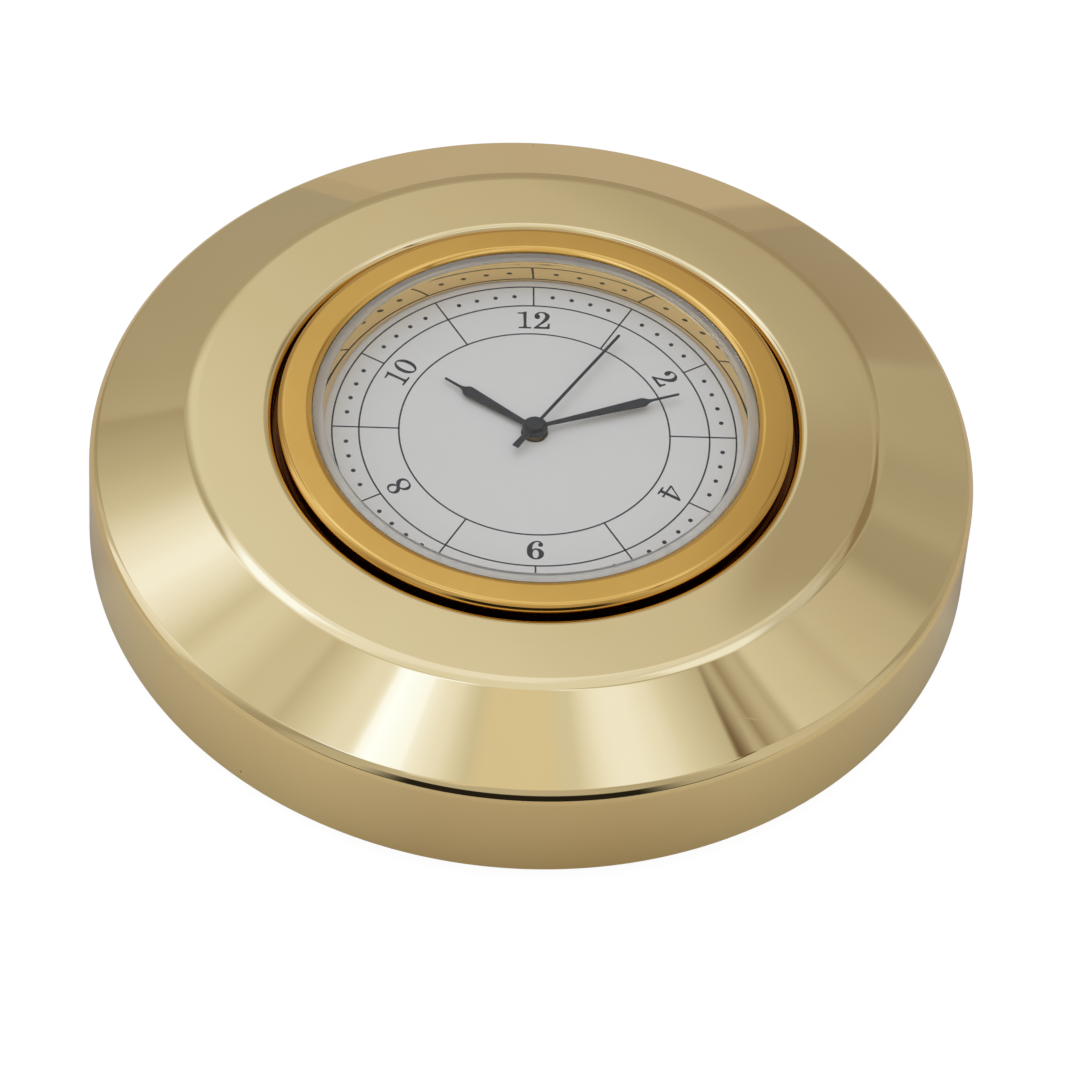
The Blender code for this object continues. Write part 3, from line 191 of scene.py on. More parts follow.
# %% [markdown]
# ## The light
#
# Polished brass has hardly any colour of its own to show: it shows the room. Lamps alone would leave it
# black between highlights, so such a clock is photographed in a white tent. The bright and dark bands on
# its slope are the tent's lit panels and its seams.
#
# The tent is painted on the world. One colour ramp runs round its left half by compass direction and one
# round its right half. Two stops close together are a seam. Lower down, under a hem, hangs a darker skirt,
# which only the shoulder's rounding mirrors. A last ramp sets the slanting part behind, which the flat top
# mirrors. Panels that a lamp lights are bluer than the dim ones, because brass turns pale in them. The
# camera's own rays see plain white, so the tent shows only in reflections.

# %% Tent panels, as (compass degrees from straight behind, brightness)
TENT_LEFT = [
    (-180, 0.77), (-153.6, 0.76), (-149.5, 0.83), (-144.2, 0.95), (-140.6, 1.07), (-133.9, 1.19),
    (-128.9, 1.33), (-127.1, 1.40), (-125.8, 1.58), (-114.9, 1.78), (-111.9, 1.60), (-110.5, 1.22),
    (-109, 1.09), (-105, 1.07), (-101.1, 0.94), (-96.3, 0.77), (-92.7, 0.65), (-90.7, 0.75), (-84.6, 0.74),
    (-80.2, 0.88), (-76.8, 0.92), (-73.5, 0.78), (-69.1, 1.10), (-64.2, 1.38), (-61.7, 1.36), (-57.3, 1.13),
    (-52.5, 0.77), (-47.5, 0.59), (-41.7, 0.45), (-40.7, 0.54), (-35.7, 0.49), (-16, 0.46),
]
TENT_RIGHT = [
    (-16, 0.46), (22, 0.35), (26.9, 0.33), (29.9, 0.34), (34.2, 0.40), (34.9, 0.51), (44.7, 0.50),
    (48.7, 0.45), (52.6, 0.47), (55.5, 0.50), (58, 0.43), (63.4, 0.42), (67.3, 0.59), (71.2, 0.63),
    (77, 0.69), (78.8, 0.64), (82.9, 0.75), (89.3, 0.82), (90.9, 0.53), (92.2, 0.64), (93.6, 0.58),
    (95.8, 0.34), (97, 0.56), (100.3, 0.61), (110.1, 0.89), (115, 1.10), (122.9, 1.28), (130.8, 1.29),
    (135.9, 1.22), (144, 0.96), (148.1, 0.83), (180, 0.78),
]
TENT_SKIRT = [
    (-180, 0.60), (-160, 0.58), (-148, 0.62), (-138, 0.58), (-130, 0.56), (-123, 0.40), (-116, 0.45),
    (-108, 0.60), (-101, 0.62), (-96, 0.90), (-88, 1.03), (-78, 1.12), (-71, 1.20), (-67, 0.64), (-61, 0.66),
    (-56, 0.46), (-45, 0.38), (-30, 0.40), (0, 0.42), (30, 0.46), (73, 0.47), (79, 0.44), (87, 0.43),
    (92, 0.60), (100, 0.66), (116, 0.68), (129, 0.70), (133, 0.58), (142, 0.52), (160, 0.56), (180, 0.60),
]
SLANTING_PART = [
    (-8, 0.50), (-6.5, 0.53), (-5.5, 0.63), (-2.5, 0.70), (-1.2, 0.73), (0.5, 0.79), (1.2, 0.83), (2.5, 0.86),
    (4, 0.87),
]
RAMP_SCALE = 2.0
PLAIN_LEVEL, LIT_LEVEL, DIM_LEVEL = 0.72, 0.80, 0.42


def panel_colour(level):
    """A panel's colour as the ramps hold it. Lit panels are bluer than the dim ones between them."""
    over = level - PLAIN_LEVEL
    dim = min(level - DIM_LEVEL, 0.0)
    red = 1.0 - (0.28 if over > 0 else 0.20) * over - 0.9 * dim
    green = 1.0 - 0.13 * max(level - LIT_LEVEL, 0.0)
    blue = 1.0 + (0.42 if over > 0 else 0.25) * over + 0.6 * dim
    return (*(level * part / RAMP_SCALE for part in (red, green, blue)), 1.0)


def light_ramp(tree, value, stops):
    """A colour ramp over a value, from the first stop to the last."""
    low, high = stops[0][0], stops[-1][0]
    ramp = add_node(tree, "ShaderNodeValToRGB")
    ramp.color_ramp.interpolation = "LINEAR"
    elements = ramp.color_ramp.elements
    while len(elements) < len(stops):
        elements.new(0.5)
    for element, (place, level) in zip(elements, stops):
        element.position = (place - low) / (high - low)
        element.color = panel_colour(level)
    share = calculate(tree, "DIVIDE", calculate(tree, "SUBTRACT", value, low), high - low)
    feed(tree, ramp.inputs["Fac"], share)
    return ramp.outputs["Color"]


# %% [markdown]
# The rest of the tent is patches with soft edges: where it hangs nearer, a fold, a pole, lamps, a ceiling,
# and the dark opening that the camera looks through. Each edge is a pair of degrees: where the patch
# starts, and where it is whole.

# %% Patches of the tent
FRONT = 3.0
HEM_TOP, HEM_RUN, HEM_EDGE = 79.0, 172.0, (4, 12)
RAISED_HEM, RAISED_START, RAISED_END = 4.5, (98, 104), (152, 140)
LOWERED_HEM, LOWERED_MIDDLE, LOWERED_EDGE = 14.0, -155.0, (14, 7)
GOLDEN, GOLDEN_SHARE, GOLDEN_SIDE, GOLDEN_RISE = (0.425, 0.405, 0.36, 1.0), 0.8, (150, 164), (50, 60)
FOLD, FOLD_LEAN, FOLD_MIDDLE, FOLD_EDGE = 0.15, 0.55, 117.8, (2.4, 1)
FOLD_START, FOLD_END = (97, 101), (128, 118)
SLANT_HEIGHT, SLANT_LEAN = 48.0, 0.5
POLE, POLE_SHARE, POLE_SIDE, POLE_FOOT, POLE_HEAD = 0.40, 0.8, (7.2, 8.8), (46.0, 47.5), (50.6, 49.0)
BEHIND_SIDE, BEHIND_RISE = (42, 24), (24, 38)
UPPER, UPPER_SIDE, UPPER_RISE = 1.12, (76, 58), (51.5, 55)
UPPER_RIGHT_SHARE, UPPER_RIGHT_SIDE = 0.4, (5, 15)
CEILING, CEILING_SIDE, CEILING_RISE, CEILING_ALL_ROUND = 0.95, (92, 80), (71, 77), (82, 86)
OPENING, OPENING_SIDE, OPENING_TOP = (0.01, 0.009, 0.008, 1.0), (142, 156), (32, 27)
LAMPS_AND_GAP = [
    (1.65, -41.0, (24, 12), 60.5, (7, 3)),
    (1.25, 60.0, (32, 14), 68.0, (9, 4)),
    (0.26, 40.0, (14, 8), 45.0, (6, 3)),
]

# %% Paint the tent
world = bpy.data.worlds.new("light tent")
bpy.context.scene.world = world
world.use_nodes = True
tent = world.node_tree
tent.nodes.clear()
direction = split(tent, add_node(tent, "ShaderNodeTexCoord").outputs["Generated"])
compass = bearing_of(tent, direction)
height = calculate(tent, "DEGREES", calculate(tent, "ARCSINE", direction["Z"]))
sideways = calculate(tent, "ABSOLUTE", compass)


def edge(value, degrees):
    """A soft edge of a patch."""
    return soft_step(tent, value, *degrees)


def cover(painted, colour, *masks):
    """A colour laid over the tent where all these masks are 1."""
    return blend_colours(tent, times(tent, *masks), painted, colour)


on_the_right = calculate(tent, "GREATER_THAN", compass, TENT_RIGHT[0][0])
painted = cover(light_ramp(tent, compass, TENT_LEFT), light_ramp(tent, compass, TENT_RIGHT), on_the_right)
painted = cover(painted, GOLDEN, GOLDEN_SHARE, edge(sideways, GOLDEN_SIDE), edge(height, GOLDEN_RISE))

to_front = calculate(tent, "SUBTRACT", 180.0, away_from(tent, compass, FRONT))
drop = calculate(tent, "POWER", calculate(tent, "DIVIDE", to_front, HEM_RUN), 2.0)
raised = times(tent, RAISED_HEM, edge(compass, RAISED_START), edge(compass, RAISED_END))
lowered = times(tent, LOWERED_HEM, edge(away_from(tent, compass, LOWERED_MIDDLE), LOWERED_EDGE))
hem = calculate(tent, "ADD", between(tent, drop, HEM_TOP, 0.0), calculate(tent, "SUBTRACT", raised, lowered))
below_hem = edge(calculate(tent, "SUBTRACT", hem, height), HEM_EDGE)
painted = cover(painted, light_ramp(tent, compass, TENT_SKIRT), below_hem)

leaning = calculate(tent, "ADD", height, calculate(tent, "MULTIPLY", compass, FOLD_LEAN))
fold = edge(away_from(tent, leaning, FOLD_MIDDLE), FOLD_EDGE)
painted = cover(painted, panel_colour(FOLD), fold, edge(compass, FOLD_START), edge(compass, FOLD_END))

leaning = calculate(tent, "MULTIPLY", compass, SLANT_LEAN)
slant = calculate(tent, "SUBTRACT", calculate(tent, "SUBTRACT", height, SLANT_HEIGHT), leaning)
pole = times(tent, POLE_SHARE, edge(compass, POLE_SIDE), edge(height, POLE_FOOT), edge(height, POLE_HEAD))
overhead = cover(light_ramp(tent, slant, SLANTING_PART), panel_colour(POLE), pole)
painted = cover(painted, overhead, edge(sideways, BEHIND_SIDE), edge(height, BEHIND_RISE))

right_share = between(tent, edge(compass, UPPER_RIGHT_SIDE), 1.0, UPPER_RIGHT_SHARE)
upper = times(tent, edge(sideways, UPPER_SIDE), edge(height, UPPER_RISE), right_share)
painted = cover(painted, panel_colour(UPPER), upper)
for level, across, across_edge, up, up_edge in LAMPS_AND_GAP:
    across_mask = edge(away_from(tent, compass, across), across_edge)
    painted = cover(painted, panel_colour(level), across_mask, edge(away_from(tent, height, up), up_edge))
ceiling = times(tent, edge(sideways, CEILING_SIDE), edge(height, CEILING_RISE))
ceiling = calculate(tent, "MAXIMUM", ceiling, edge(height, CEILING_ALL_ROUND))
painted = cover(painted, panel_colour(CEILING), ceiling)
painted = cover(painted, OPENING, edge(sideways, OPENING_SIDE), edge(height, OPENING_TOP))

seen_by_camera = add_node(tent, "ShaderNodeLightPath").outputs["Is Camera Ray"]
glow = add_node(tent, "ShaderNodeBackground")
adjust(glow, Strength=RAMP_SCALE)
white = (1 / RAMP_SCALE, 1 / RAMP_SCALE, 1 / RAMP_SCALE, 1.0)
tent.links.new(blend_colours(tent, seen_by_camera, painted, white), glow.inputs["Color"])
tent.links.new(glow.outputs[0], add_node(tent, "ShaderNodeOutputWorld").inputs["Surface"])
print("tent with", len(TENT_LEFT) + len(TENT_RIGHT), "panels and", len(tent.nodes), "nodes")

# %% [markdown]
# ## The floor
#
# A real table top would do, but the photograph's ground is plain white. A wide disc is enough, with its
# middle a little under the felt. It is a stage, so it isn't part of the clock. The brass wall mirrors it,
# and there it carries painted light and shade: a warm tint that stands in for light from the brass,
# painted shade by the foot, painted dimming far out, a painted glow at the sides, and a painted dark
# patch in front of the clock. Light Path tells the two looks apart.

# %% Floor. Pairs are soft edges: compass degrees, or millimetres from the axis
FLOOR_RADIUS = 2.0
FLOOR_SINK = 0.05 * MM
# Painted light: what the brass mirrors of the floor is a warm tint, standing in for light from the brass.
PAPER_SEEN, PAINTED_WARM_MIRRORED = (0.12, 0.12, 0.12, 1.0), (0.89, 0.785, 0.63, 1.0)
# Painted shade: the mirrored floor is darker by the foot of the weight.
OPEN_PAPER, PAINTED_SHADE_AT_FOOT, FOOT_EDGE = 1.15, 0.85, (68, 42)
PAINTED_DIM_FAR_RIGHT = ((4, 10), (270, 430), 0.70)
PAINTED_DIM_FAR_LEFT = ((-3, -7), (380, 560), 0.80)
PAINTED_DARK_IN_FRONT = ((120, 145), (145, 185), 0.03)
GLOW_SEEN, PAINTED_GLOW_BESIDE = (0.95, 0.95, 0.95, 1.0), (0.068, 0.085, 0.085, 1.0)
BESIDE_START, BESIDE_END = (98, 106), (168, 146)
BLACK = (0.0, 0.0, 0.0, 1.0)
bpy.ops.object.select_all(action="DESELECT")
bpy.ops.mesh.primitive_circle_add(
    vertices=96, radius=FLOOR_RADIUS, fill_type="NGON", location=(0, 0, -FLOOR_SINK)
)
floor = bpy.context.object
floor.name = "floor"
paper = bpy.data.materials.new("white paper")
paper.use_nodes = True
sheet = paper.node_tree
place = split(sheet, object_place(sheet))
bearing = bearing_of(sheet, place)
aside = calculate(sheet, "ABSOLUTE", bearing)
reach = calculate(sheet, "DIVIDE", from_axis(sheet, place), MM)
lit = between(sheet, soft_step(sheet, reach, *FOOT_EDGE), OPEN_PAPER, PAINTED_SHADE_AT_FOOT)
# Painted shade: the mirrored floor dims far out to the right and left, and turns nearly black in front.
for turn, (turn_edge, reach_edge, share) in zip(
    (bearing, bearing, aside), (PAINTED_DIM_FAR_RIGHT, PAINTED_DIM_FAR_LEFT, PAINTED_DARK_IN_FRONT)
):
    there = times(sheet, soft_step(sheet, turn, *turn_edge), soft_step(sheet, reach, *reach_edge))
    lit = times(sheet, lit, between(sheet, there, 1.0, share))
mirrored = blend_colours(sheet, lit, BLACK, PAINTED_WARM_MIRRORED)
# Painted glow: at the sides the mirrored floor gives off a little light of its own.
beside = times(sheet, soft_step(sheet, aside, *BESIDE_START), soft_step(sheet, aside, *BESIDE_END))
beside = blend_colours(sheet, beside, BLACK, PAINTED_GLOW_BESIDE)
camera_ray = add_node(sheet, "ShaderNodeLightPath").outputs["Is Camera Ray"]
shader = sheet.nodes["Principled BSDF"]
feed(sheet, shader.inputs["Base Color"], blend_colours(sheet, camera_ray, mirrored, PAPER_SEEN))
feed(sheet, shader.inputs["Emission Color"], blend_colours(sheet, camera_ray, beside, GLOW_SEEN))
adjust(shader, Emission_Strength=1.0, Roughness=1.0, Specular_IOR_Level=0.0)
floor.data.materials.append(paper)
print("floor", FLOOR_RADIUS, "m")

# %% [markdown]
# ## Shared surface effects
#
# Every finish below has some of the same faults: fine rings from the lathe, a haze where it was wiped,
# hair scratches, and a few specks. Each effect is one node group, built once and placed in each material
# with its own amounts. A group puts out only a mask or a height.

# %% Effect group helper


def effect(name, inputs, output):
    """An empty node group with number inputs and one number output, and its object coordinates."""
    group = bpy.data.node_groups.new(name, "ShaderNodeTree")
    for label, value in inputs.items():
        socket = group.interface.new_socket(label, in_out="INPUT", socket_type="NodeSocketFloat")
        socket.default_value = value
    group.interface.new_socket(output, in_out="OUTPUT", socket_type="NodeSocketFloat")
    entry = add_node(group, "NodeGroupInput").outputs
    leave = add_node(group, "NodeGroupOutput").inputs[0]
    return group, entry, leave, object_place(group)


def noise(tree, vector, scale, detail=3.0, roughness=0.5):
    """Noise from 0 to 1."""
    made = add_node(tree, "ShaderNodeTexNoise")
    feed(tree, made.inputs["Vector"], vector)
    feed(tree, made.inputs["Scale"], scale)
    adjust(made, Detail=detail, Roughness=roughness)
    return made.outputs["Fac"]


# %% Lathe rings
lathe_rings, entry, leave, coordinates = effect("lathe rings", {"Fineness": 5000.0}, "Height")
place = split(lathe_rings, coordinates)
line = add_node(lathe_rings, "ShaderNodeCombineXYZ")
lathe_rings.links.new(from_axis(lathe_rings, place), line.inputs["X"])
lathe_rings.links.new(place["Z"], line.inputs["Z"])
lathe_rings.links.new(noise(lathe_rings, line.outputs[0], entry["Fineness"], 2.0), leave)

# %% Wiped haze
HAZE_EDGE = (0.35, 0.75)
wiped_haze, entry, leave, coordinates = effect("wiped haze", {"Size": 90.0}, "Mask")
cloud = noise(wiped_haze, coordinates, entry["Size"], 5.0, 0.6)
wiped_haze.links.new(soft_step(wiped_haze, cloud, *HAZE_EDGE), leave)

# %% Hair scratches
hair_scratches, entry, leave, coordinates = effect("hair scratches", {"Number": 0.5}, "Mask")
STROKES = [(35.0, 2800.0), (-50.0, 3400.0)]
STROKE_LENGTH, STROKE_HEIGHT, STROKE_EDGE = 90.0, 400.0, (0.76, 0.82)
PATCH_SIZE, PATCH_EDGE = 140.0, (0.50, 0.62)
marks = []
for turn_degrees, fineness in STROKES:
    laid = add_node(hair_scratches, "ShaderNodeMapping")
    adjust(laid, Rotation=(0.0, 0.0, math.radians(turn_degrees)))
    adjust(laid, Scale=(STROKE_LENGTH, fineness, STROKE_HEIGHT))
    hair_scratches.links.new(coordinates, laid.inputs["Vector"])
    marks.append(noise(hair_scratches, laid.outputs[0], 1.0, 1.0))
strongest = calculate(hair_scratches, "MAXIMUM", *marks)
line_mask = soft_step(hair_scratches, strongest, *STROKE_EDGE)
patches = soft_step(hair_scratches, noise(hair_scratches, coordinates, PATCH_SIZE, 1.0), *PATCH_EDGE)
hair_scratches.links.new(times(hair_scratches, line_mask, patches, entry["Number"]), leave)

# %% Specks
specks, entry, leave, coordinates = effect("specks", {"Spacing": 260.0, "Size": 0.05, "Share": 0.06}, "Mask")
cells = add_node(specks, "ShaderNodeTexVoronoi")
specks.links.new(coordinates, cells.inputs["Vector"])
specks.links.new(entry["Spacing"], cells.inputs["Scale"])
close = calculate(specks, "LESS_THAN", cells.outputs["Distance"], entry["Size"])
chance = add_node(specks, "ShaderNodeSeparateColor")
specks.links.new(cells.outputs["Color"], chance.inputs[0])
chosen = calculate(specks, "LESS_THAN", chance.outputs[0], entry["Share"])
specks.links.new(calculate(specks, "MULTIPLY", close, chosen), leave)

# %% Fine grain
fine_grain, entry, leave, coordinates = effect("fine grain", {"Fineness": 4000.0}, "Height")
fine_grain.links.new(noise(fine_grain, coordinates, entry["Fineness"], 3.0, 0.6), leave)
print("effects:", [group.name for group in bpy.data.node_groups])

# %% [markdown]
# ## Finishes
#
# Each finish is a Principled shader fed by those effects. Metals carry their colour in Base Color, with a
# tarnished shade of it in the haze and a dark one in the specks. Roughness rises where the surface was
# wiped, and the lathe rings and scratches go to Normal through one Bump node.

# %% Finish helper


def place_effect(tree, group, **amounts):
    """An effect group in a material, with its own amounts."""
    made = add_node(tree, "ShaderNodeGroup", node_tree=group)
    adjust(made, **amounts)
    return made.outputs[0]


def new_finish(name):
    """A material and its node tree and shader."""
    material = bpy.data.materials.new(name)
    material.use_nodes = True
    return material, material.node_tree, material.node_tree.nodes["Principled BSDF"]


def add_bump(tree, shader, height, depth):
    """Relief on a shader's normal, its depth in metres."""
    bump = add_node(tree, "ShaderNodeBump")
    adjust(bump, Strength=1.0, Distance=depth)
    feed(tree, bump.inputs["Height"], height)
    tree.links.new(bump.outputs[0], shader.inputs["Normal"])


def add_to(tree, socket, value):
    """Add a number to what a socket already gets."""
    feed(tree, socket, calculate(tree, "ADD", socket.links[0].from_socket, value))


def tint(tree, shader, share, colour):
    """Blend a colour over what a shader's Base Color already gets."""
    socket = shader.inputs["Base Color"]
    feed(tree, socket, blend_colours(tree, share, socket.links[0].from_socket, colour))


SPECK_COLOUR, SPECK_SHARE = (0.10, 0.06, 0.03, 1.0), 0.7
SCRATCH_ROUGHNESS, SCRATCH_DEPTH = 0.15, 1.5


def metal(name, colour, tarnish, roughness, rings=0.02e-6, hazed=0.05):
    """A metal finish with lathe rings, haze, scratches and specks."""
    material, tree, shader = new_finish(name)
    wiped = place_effect(tree, wiped_haze)
    marks = place_effect(tree, hair_scratches)
    feed(tree, shader.inputs["Base Color"], blend_colours(tree, wiped, (*colour, 1.0), (*tarnish, 1.0)))
    tint(tree, shader, times(tree, SPECK_SHARE, place_effect(tree, specks)), SPECK_COLOUR)
    feed(tree, shader.inputs["Roughness"], between(tree, wiped, roughness, roughness + hazed))
    add_to(tree, shader.inputs["Roughness"], times(tree, SCRATCH_ROUGHNESS, marks))
    adjust(shader, Metallic=1.0)
    relief = calculate(tree, "SUBTRACT", place_effect(tree, lathe_rings), times(tree, SCRATCH_DEPTH, marks))
    add_bump(tree, shader, relief, rings)
    return material, tree, shader


# %% Metals
finish = {}
brass, brass_tree, brass_shader = metal(
    "polished brass", (0.80, 0.65, 0.35), (0.79, 0.635, 0.335), 0.018, rings=0.05e-6, hazed=0.02
)
gilt, *_ = metal("gilt", (0.76, 0.465, 0.122), (0.72, 0.43, 0.105), 0.09, rings=0.12e-6, hazed=0.05)
mirror_gilt, *_ = metal(
    "mirror gilt", (0.92, 0.65, 0.28), (0.90, 0.63, 0.26), 0.03, rings=0.03e-6, hazed=0.02
)
nickel, *_ = metal("nickel plate", (0.62, 0.61, 0.58), (0.52, 0.51, 0.48), 0.24, rings=0.6e-6, hazed=0.10)
train_brass, *_ = metal(
    "stamped brass", (0.74, 0.56, 0.27), (0.62, 0.45, 0.20), 0.25, rings=0.6e-6, hazed=0.10
)
finish.update(polished_brass=brass, bezel_gold=gilt, reflector_gold=mirror_gilt)
finish.update(plated_steel=nickel, wheel_brass=train_brass)

# %% [markdown]
# Inside the weight's recess the brass is painted nearly black, as painted shade for the deep gap that
# shows as the nearly black line round the bezel, and it is made rougher too. Both follow its radius and
# height on the piece.

# %% Painted shade and dull brass inside the recess
RECESS_RADIUS = 25.17 * MM
RECESS_EDGE = (RECESS_RADIUS + 0.12 * MM, RECESS_RADIUS + 0.02 * MM)
RECESS_TOP = (15.2 * MM, 14.9 * MM)
RECESS_PAINTED_SHADE, DULL_ROUGHNESS = (0.14, 0.055, 0.02, 1.0), 0.35
place = split(brass_tree, object_place(brass_tree))
inside = soft_step(brass_tree, from_axis(brass_tree, place), *RECESS_EDGE)
painted_shade_and_dull = times(brass_tree, inside, soft_step(brass_tree, place["Z"], *RECESS_TOP))
# Painted shade: the recess brass is tinted nearly black, for the shade in the gap round the bezel.
tint(brass_tree, brass_shader, painted_shade_and_dull, RECESS_PAINTED_SHADE)
add_to(brass_tree, brass_shader.inputs["Roughness"], times(brass_tree, DULL_ROUGHNESS, painted_shade_and_dull))

# %% [markdown]
# Plastics, rubber, enamel and paint aren't metals, so their gloss is a thin white reflection on top of a
# body colour. One helper makes them all, with mottle in the colour and a moulded or sprayed grain.

# %% Paint and plastic helper
DUST_COLOUR, DUST_SHARE = (0.35, 0.33, 0.30, 1.0), 0.25


def coating(name, colour, mottled, roughness, grain, fineness=4000.0):
    """A non-metal finish with a mottled colour and a grain."""
    material, tree, shader = new_finish(name)
    wiped = place_effect(tree, wiped_haze, Size=200.0)
    dust = place_effect(tree, specks, Spacing=420.0, Size=0.05, Share=0.03)
    feed(tree, shader.inputs["Base Color"], blend_colours(tree, wiped, (*colour, 1.0), (*mottled, 1.0)))
    tint(tree, shader, times(tree, DUST_SHARE, dust), DUST_COLOUR)
    feed(tree, shader.inputs["Roughness"], between(tree, wiped, roughness, min(roughness + 0.1, 1.0)))
    add_bump(tree, shader, place_effect(tree, fine_grain, Fineness=fineness), grain)
    return material, tree, shader


# %% Paints and plastics, as colour, mottled colour, roughness, grain and its fineness
COATINGS = {
    "dial_enamel": ((0.91, 0.865, 0.80), (0.90, 0.855, 0.79), 0.5, 0.4e-6, 6000.0),
    "hand_black": ((0.008, 0.008, 0.008), (0.006, 0.006, 0.006), 0.45, 0.5e-6, 9000.0),
    "grip_rubber": ((0.025, 0.025, 0.026), (0.045, 0.044, 0.042), 0.7, 12e-6, 2500.0),
    "plate_plastic": ((0.09, 0.09, 0.10), (0.11, 0.11, 0.12), 0.45, 8e-6, 3000.0),
    "wheel_plastic": ((0.75, 0.73, 0.66), (0.68, 0.66, 0.58), 0.4, 3e-6, 5000.0),
}
for slot, values in COATINGS.items():
    finish[slot], *_ = coating(slot.replace("_", " "), *values)
print("finishes so far:", sorted(finish))

# %% [markdown]
# The gasket is natural nylon, which is milky. Some light goes through it, so the pale dial shows in its
# lip at the near side and the gilt case at the far side.

# %% Milky nylon
finish["gasket_nylon"], _, nylon_shader = coating(
    "gasket nylon", (0.90, 0.88, 0.82), (0.87, 0.85, 0.79), 0.42, 0.1e-6
)
adjust(nylon_shader, Transmission_Weight=0.75, IOR=1.15)

# %% [markdown]
# The coil and the board have patterns of their own: enamelled wire lies in turns along the coil, and the
# green laminate carries thin copper tracks. Both read object coordinates.

# %% Copper winding and circuit board
WIRE_TURNS, WIRE_DEPTH = 2200.0, 25e-6
finish["coil_copper"], coil_tree, _ = metal("coil copper", (0.62, 0.22, 0.10), (0.45, 0.13, 0.06), 0.28)
turns = add_node(coil_tree, "ShaderNodeTexWave", bands_direction="Y")
adjust(turns, Scale=WIRE_TURNS)
coil_tree.links.new(object_place(coil_tree), turns.inputs["Vector"])
adjust(coil_tree.nodes["Bump"], Distance=WIRE_DEPTH)
coil_tree.links.new(turns.outputs["Fac"], coil_tree.nodes["Bump"].inputs["Height"])

TRACK_CELLS, TRACK_EDGE, TRACK_GREEN = 420.0, (0.07, 0.05), (0.09, 0.30, 0.12, 1.0)
finish["board_laminate"], board_tree, board_shader = coating(
    "board", (0.04, 0.19, 0.08), (0.03, 0.15, 0.07), 0.35, 3e-6
)
tracks = add_node(board_tree, "ShaderNodeTexVoronoi", feature="DISTANCE_TO_EDGE", distance="EUCLIDEAN")
adjust(tracks, Scale=TRACK_CELLS)
board_tree.links.new(object_place(board_tree), tracks.inputs["Vector"])
tint(board_tree, board_shader, soft_step(board_tree, tracks.outputs["Distance"], *TRACK_EDGE), TRACK_GREEN)

# %% [markdown]
# Felt is short wool fibres pressed together. Coarse and fine noise give the nap its relief and its
# lighter and darker tufts, and sheen gives the pale rim that wool shows at a low angle.

# %% Felt
DARK_WOOL, LIGHT_WOOL = (0.012, 0.035, 0.02, 1.0), (0.04, 0.10, 0.06, 1.0)
NAP_DEPTH = 0.15 * MM
finish["felt"], felt_tree, felt_shader = new_finish("felt")
tufts = noise(felt_tree, object_place(felt_tree), 900.0, 8.0, 0.75)
nap = blend_colours(felt_tree, soft_step(felt_tree, tufts, 0.3, 0.7), DARK_WOOL, LIGHT_WOOL)
feed(felt_tree, felt_shader.inputs["Base Color"], nap)
adjust(felt_shader, Roughness=1.0, Sheen_Weight=0.5, Sheen_Roughness=0.5)
add_bump(felt_tree, felt_shader, tufts, NAP_DEPTH)

# %% [markdown]
# The crystal is plain window glass. A glass shader bends light, which lifts the dial by half a
# millimetre, but it also casts a dark shadow, because shadow rays don't pass through bent glass. Real
# glass lets the light in, so for shadow and diffuse rays the shader is swapped for a clear one.

# %% Glass
CLEAR, SMUDGED, SMUDGE_ROUGHNESS = (0.985, 0.995, 0.99, 1.0), (0.975, 0.99, 0.985, 1.0), 0.004
SHADOW_TINT, MIRROR_TINT = (0.96, 0.97, 0.965, 1.0), (0.4, 0.4, 0.4, 1.0)
finish["crystal_glass"], glass_tree, glass_shader = new_finish("crystal glass")
smudges = place_effect(glass_tree, wiped_haze, Size=60.0)
feed(glass_tree, glass_shader.inputs["Base Color"], blend_colours(glass_tree, smudges, CLEAR, SMUDGED))
feed(glass_tree, glass_shader.inputs["Roughness"], between(glass_tree, smudges, 0.0, SMUDGE_ROUGHNESS))
adjust(glass_shader, Specular_Tint=MIRROR_TINT, IOR=1.5, Transmission_Weight=1.0)
see_through = add_node(glass_tree, "ShaderNodeBsdfTransparent")
adjust(see_through, Color=SHADOW_TINT)
ray = add_node(glass_tree, "ShaderNodeLightPath").outputs
lighting = calculate(glass_tree, "MAXIMUM", ray["Is Shadow Ray"], ray["Is Diffuse Ray"])
swap = add_node(glass_tree, "ShaderNodeMixShader")
glass_tree.links.new(lighting, swap.inputs["Fac"])
glass_tree.links.new(glass_shader.outputs[0], swap.inputs[1])
glass_tree.links.new(see_through.outputs[0], swap.inputs[2])
glass_tree.links.new(swap.outputs[0], glass_tree.nodes["Material Output"].inputs["Surface"])
print("finishes:", len(finish))

# %% [markdown]
# ## Finish the CAD nodes
#
# Most nodes inside the case have the right shape already, so they only need a finish. The material each
# node came with names its slot, and the slot picks the finish.

# %% Give every node the finish of its slot
def slot_of(node):
    """The slot for a node, read from the material it came with."""
    return node.material_slots[0].material.name.split(".")[0]


for name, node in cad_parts.items():
    node.material_slots[0].material = finish[slot_of(node)]
print("nodes finished:", len(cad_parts))

# %% [markdown]
# ## Turned pieces
#
# The weight, the bezel and most rings are lathe work. Three ways make such a shape: spin a drawn section,
# use a Screw modifier, or start from a circle and extrude it outwards and upwards, ring by ring. The last
# is used here, because each ring then has a radius and a height that can be picked again to bevel it.
#
# Bevels matter more than faces: a polished edge is never sharp, and it is the thin bright line along each
# edge that makes metal look like metal. A Weighted Normal modifier keeps the flats flat beside them.

# %% Turning helpers
ROUND = 256
TOLERANCE = 0.004 * MM


def deselect():
    """Leave nothing selected, in object mode."""
    bpy.ops.object.select_all(action="DESELECT")


def pick(*pieces):
    """Select these pieces alone, and make the first one active."""
    deselect()
    for piece in pieces:
        piece.select_set(True)
    bpy.context.view_layer.objects.active = pieces[0]


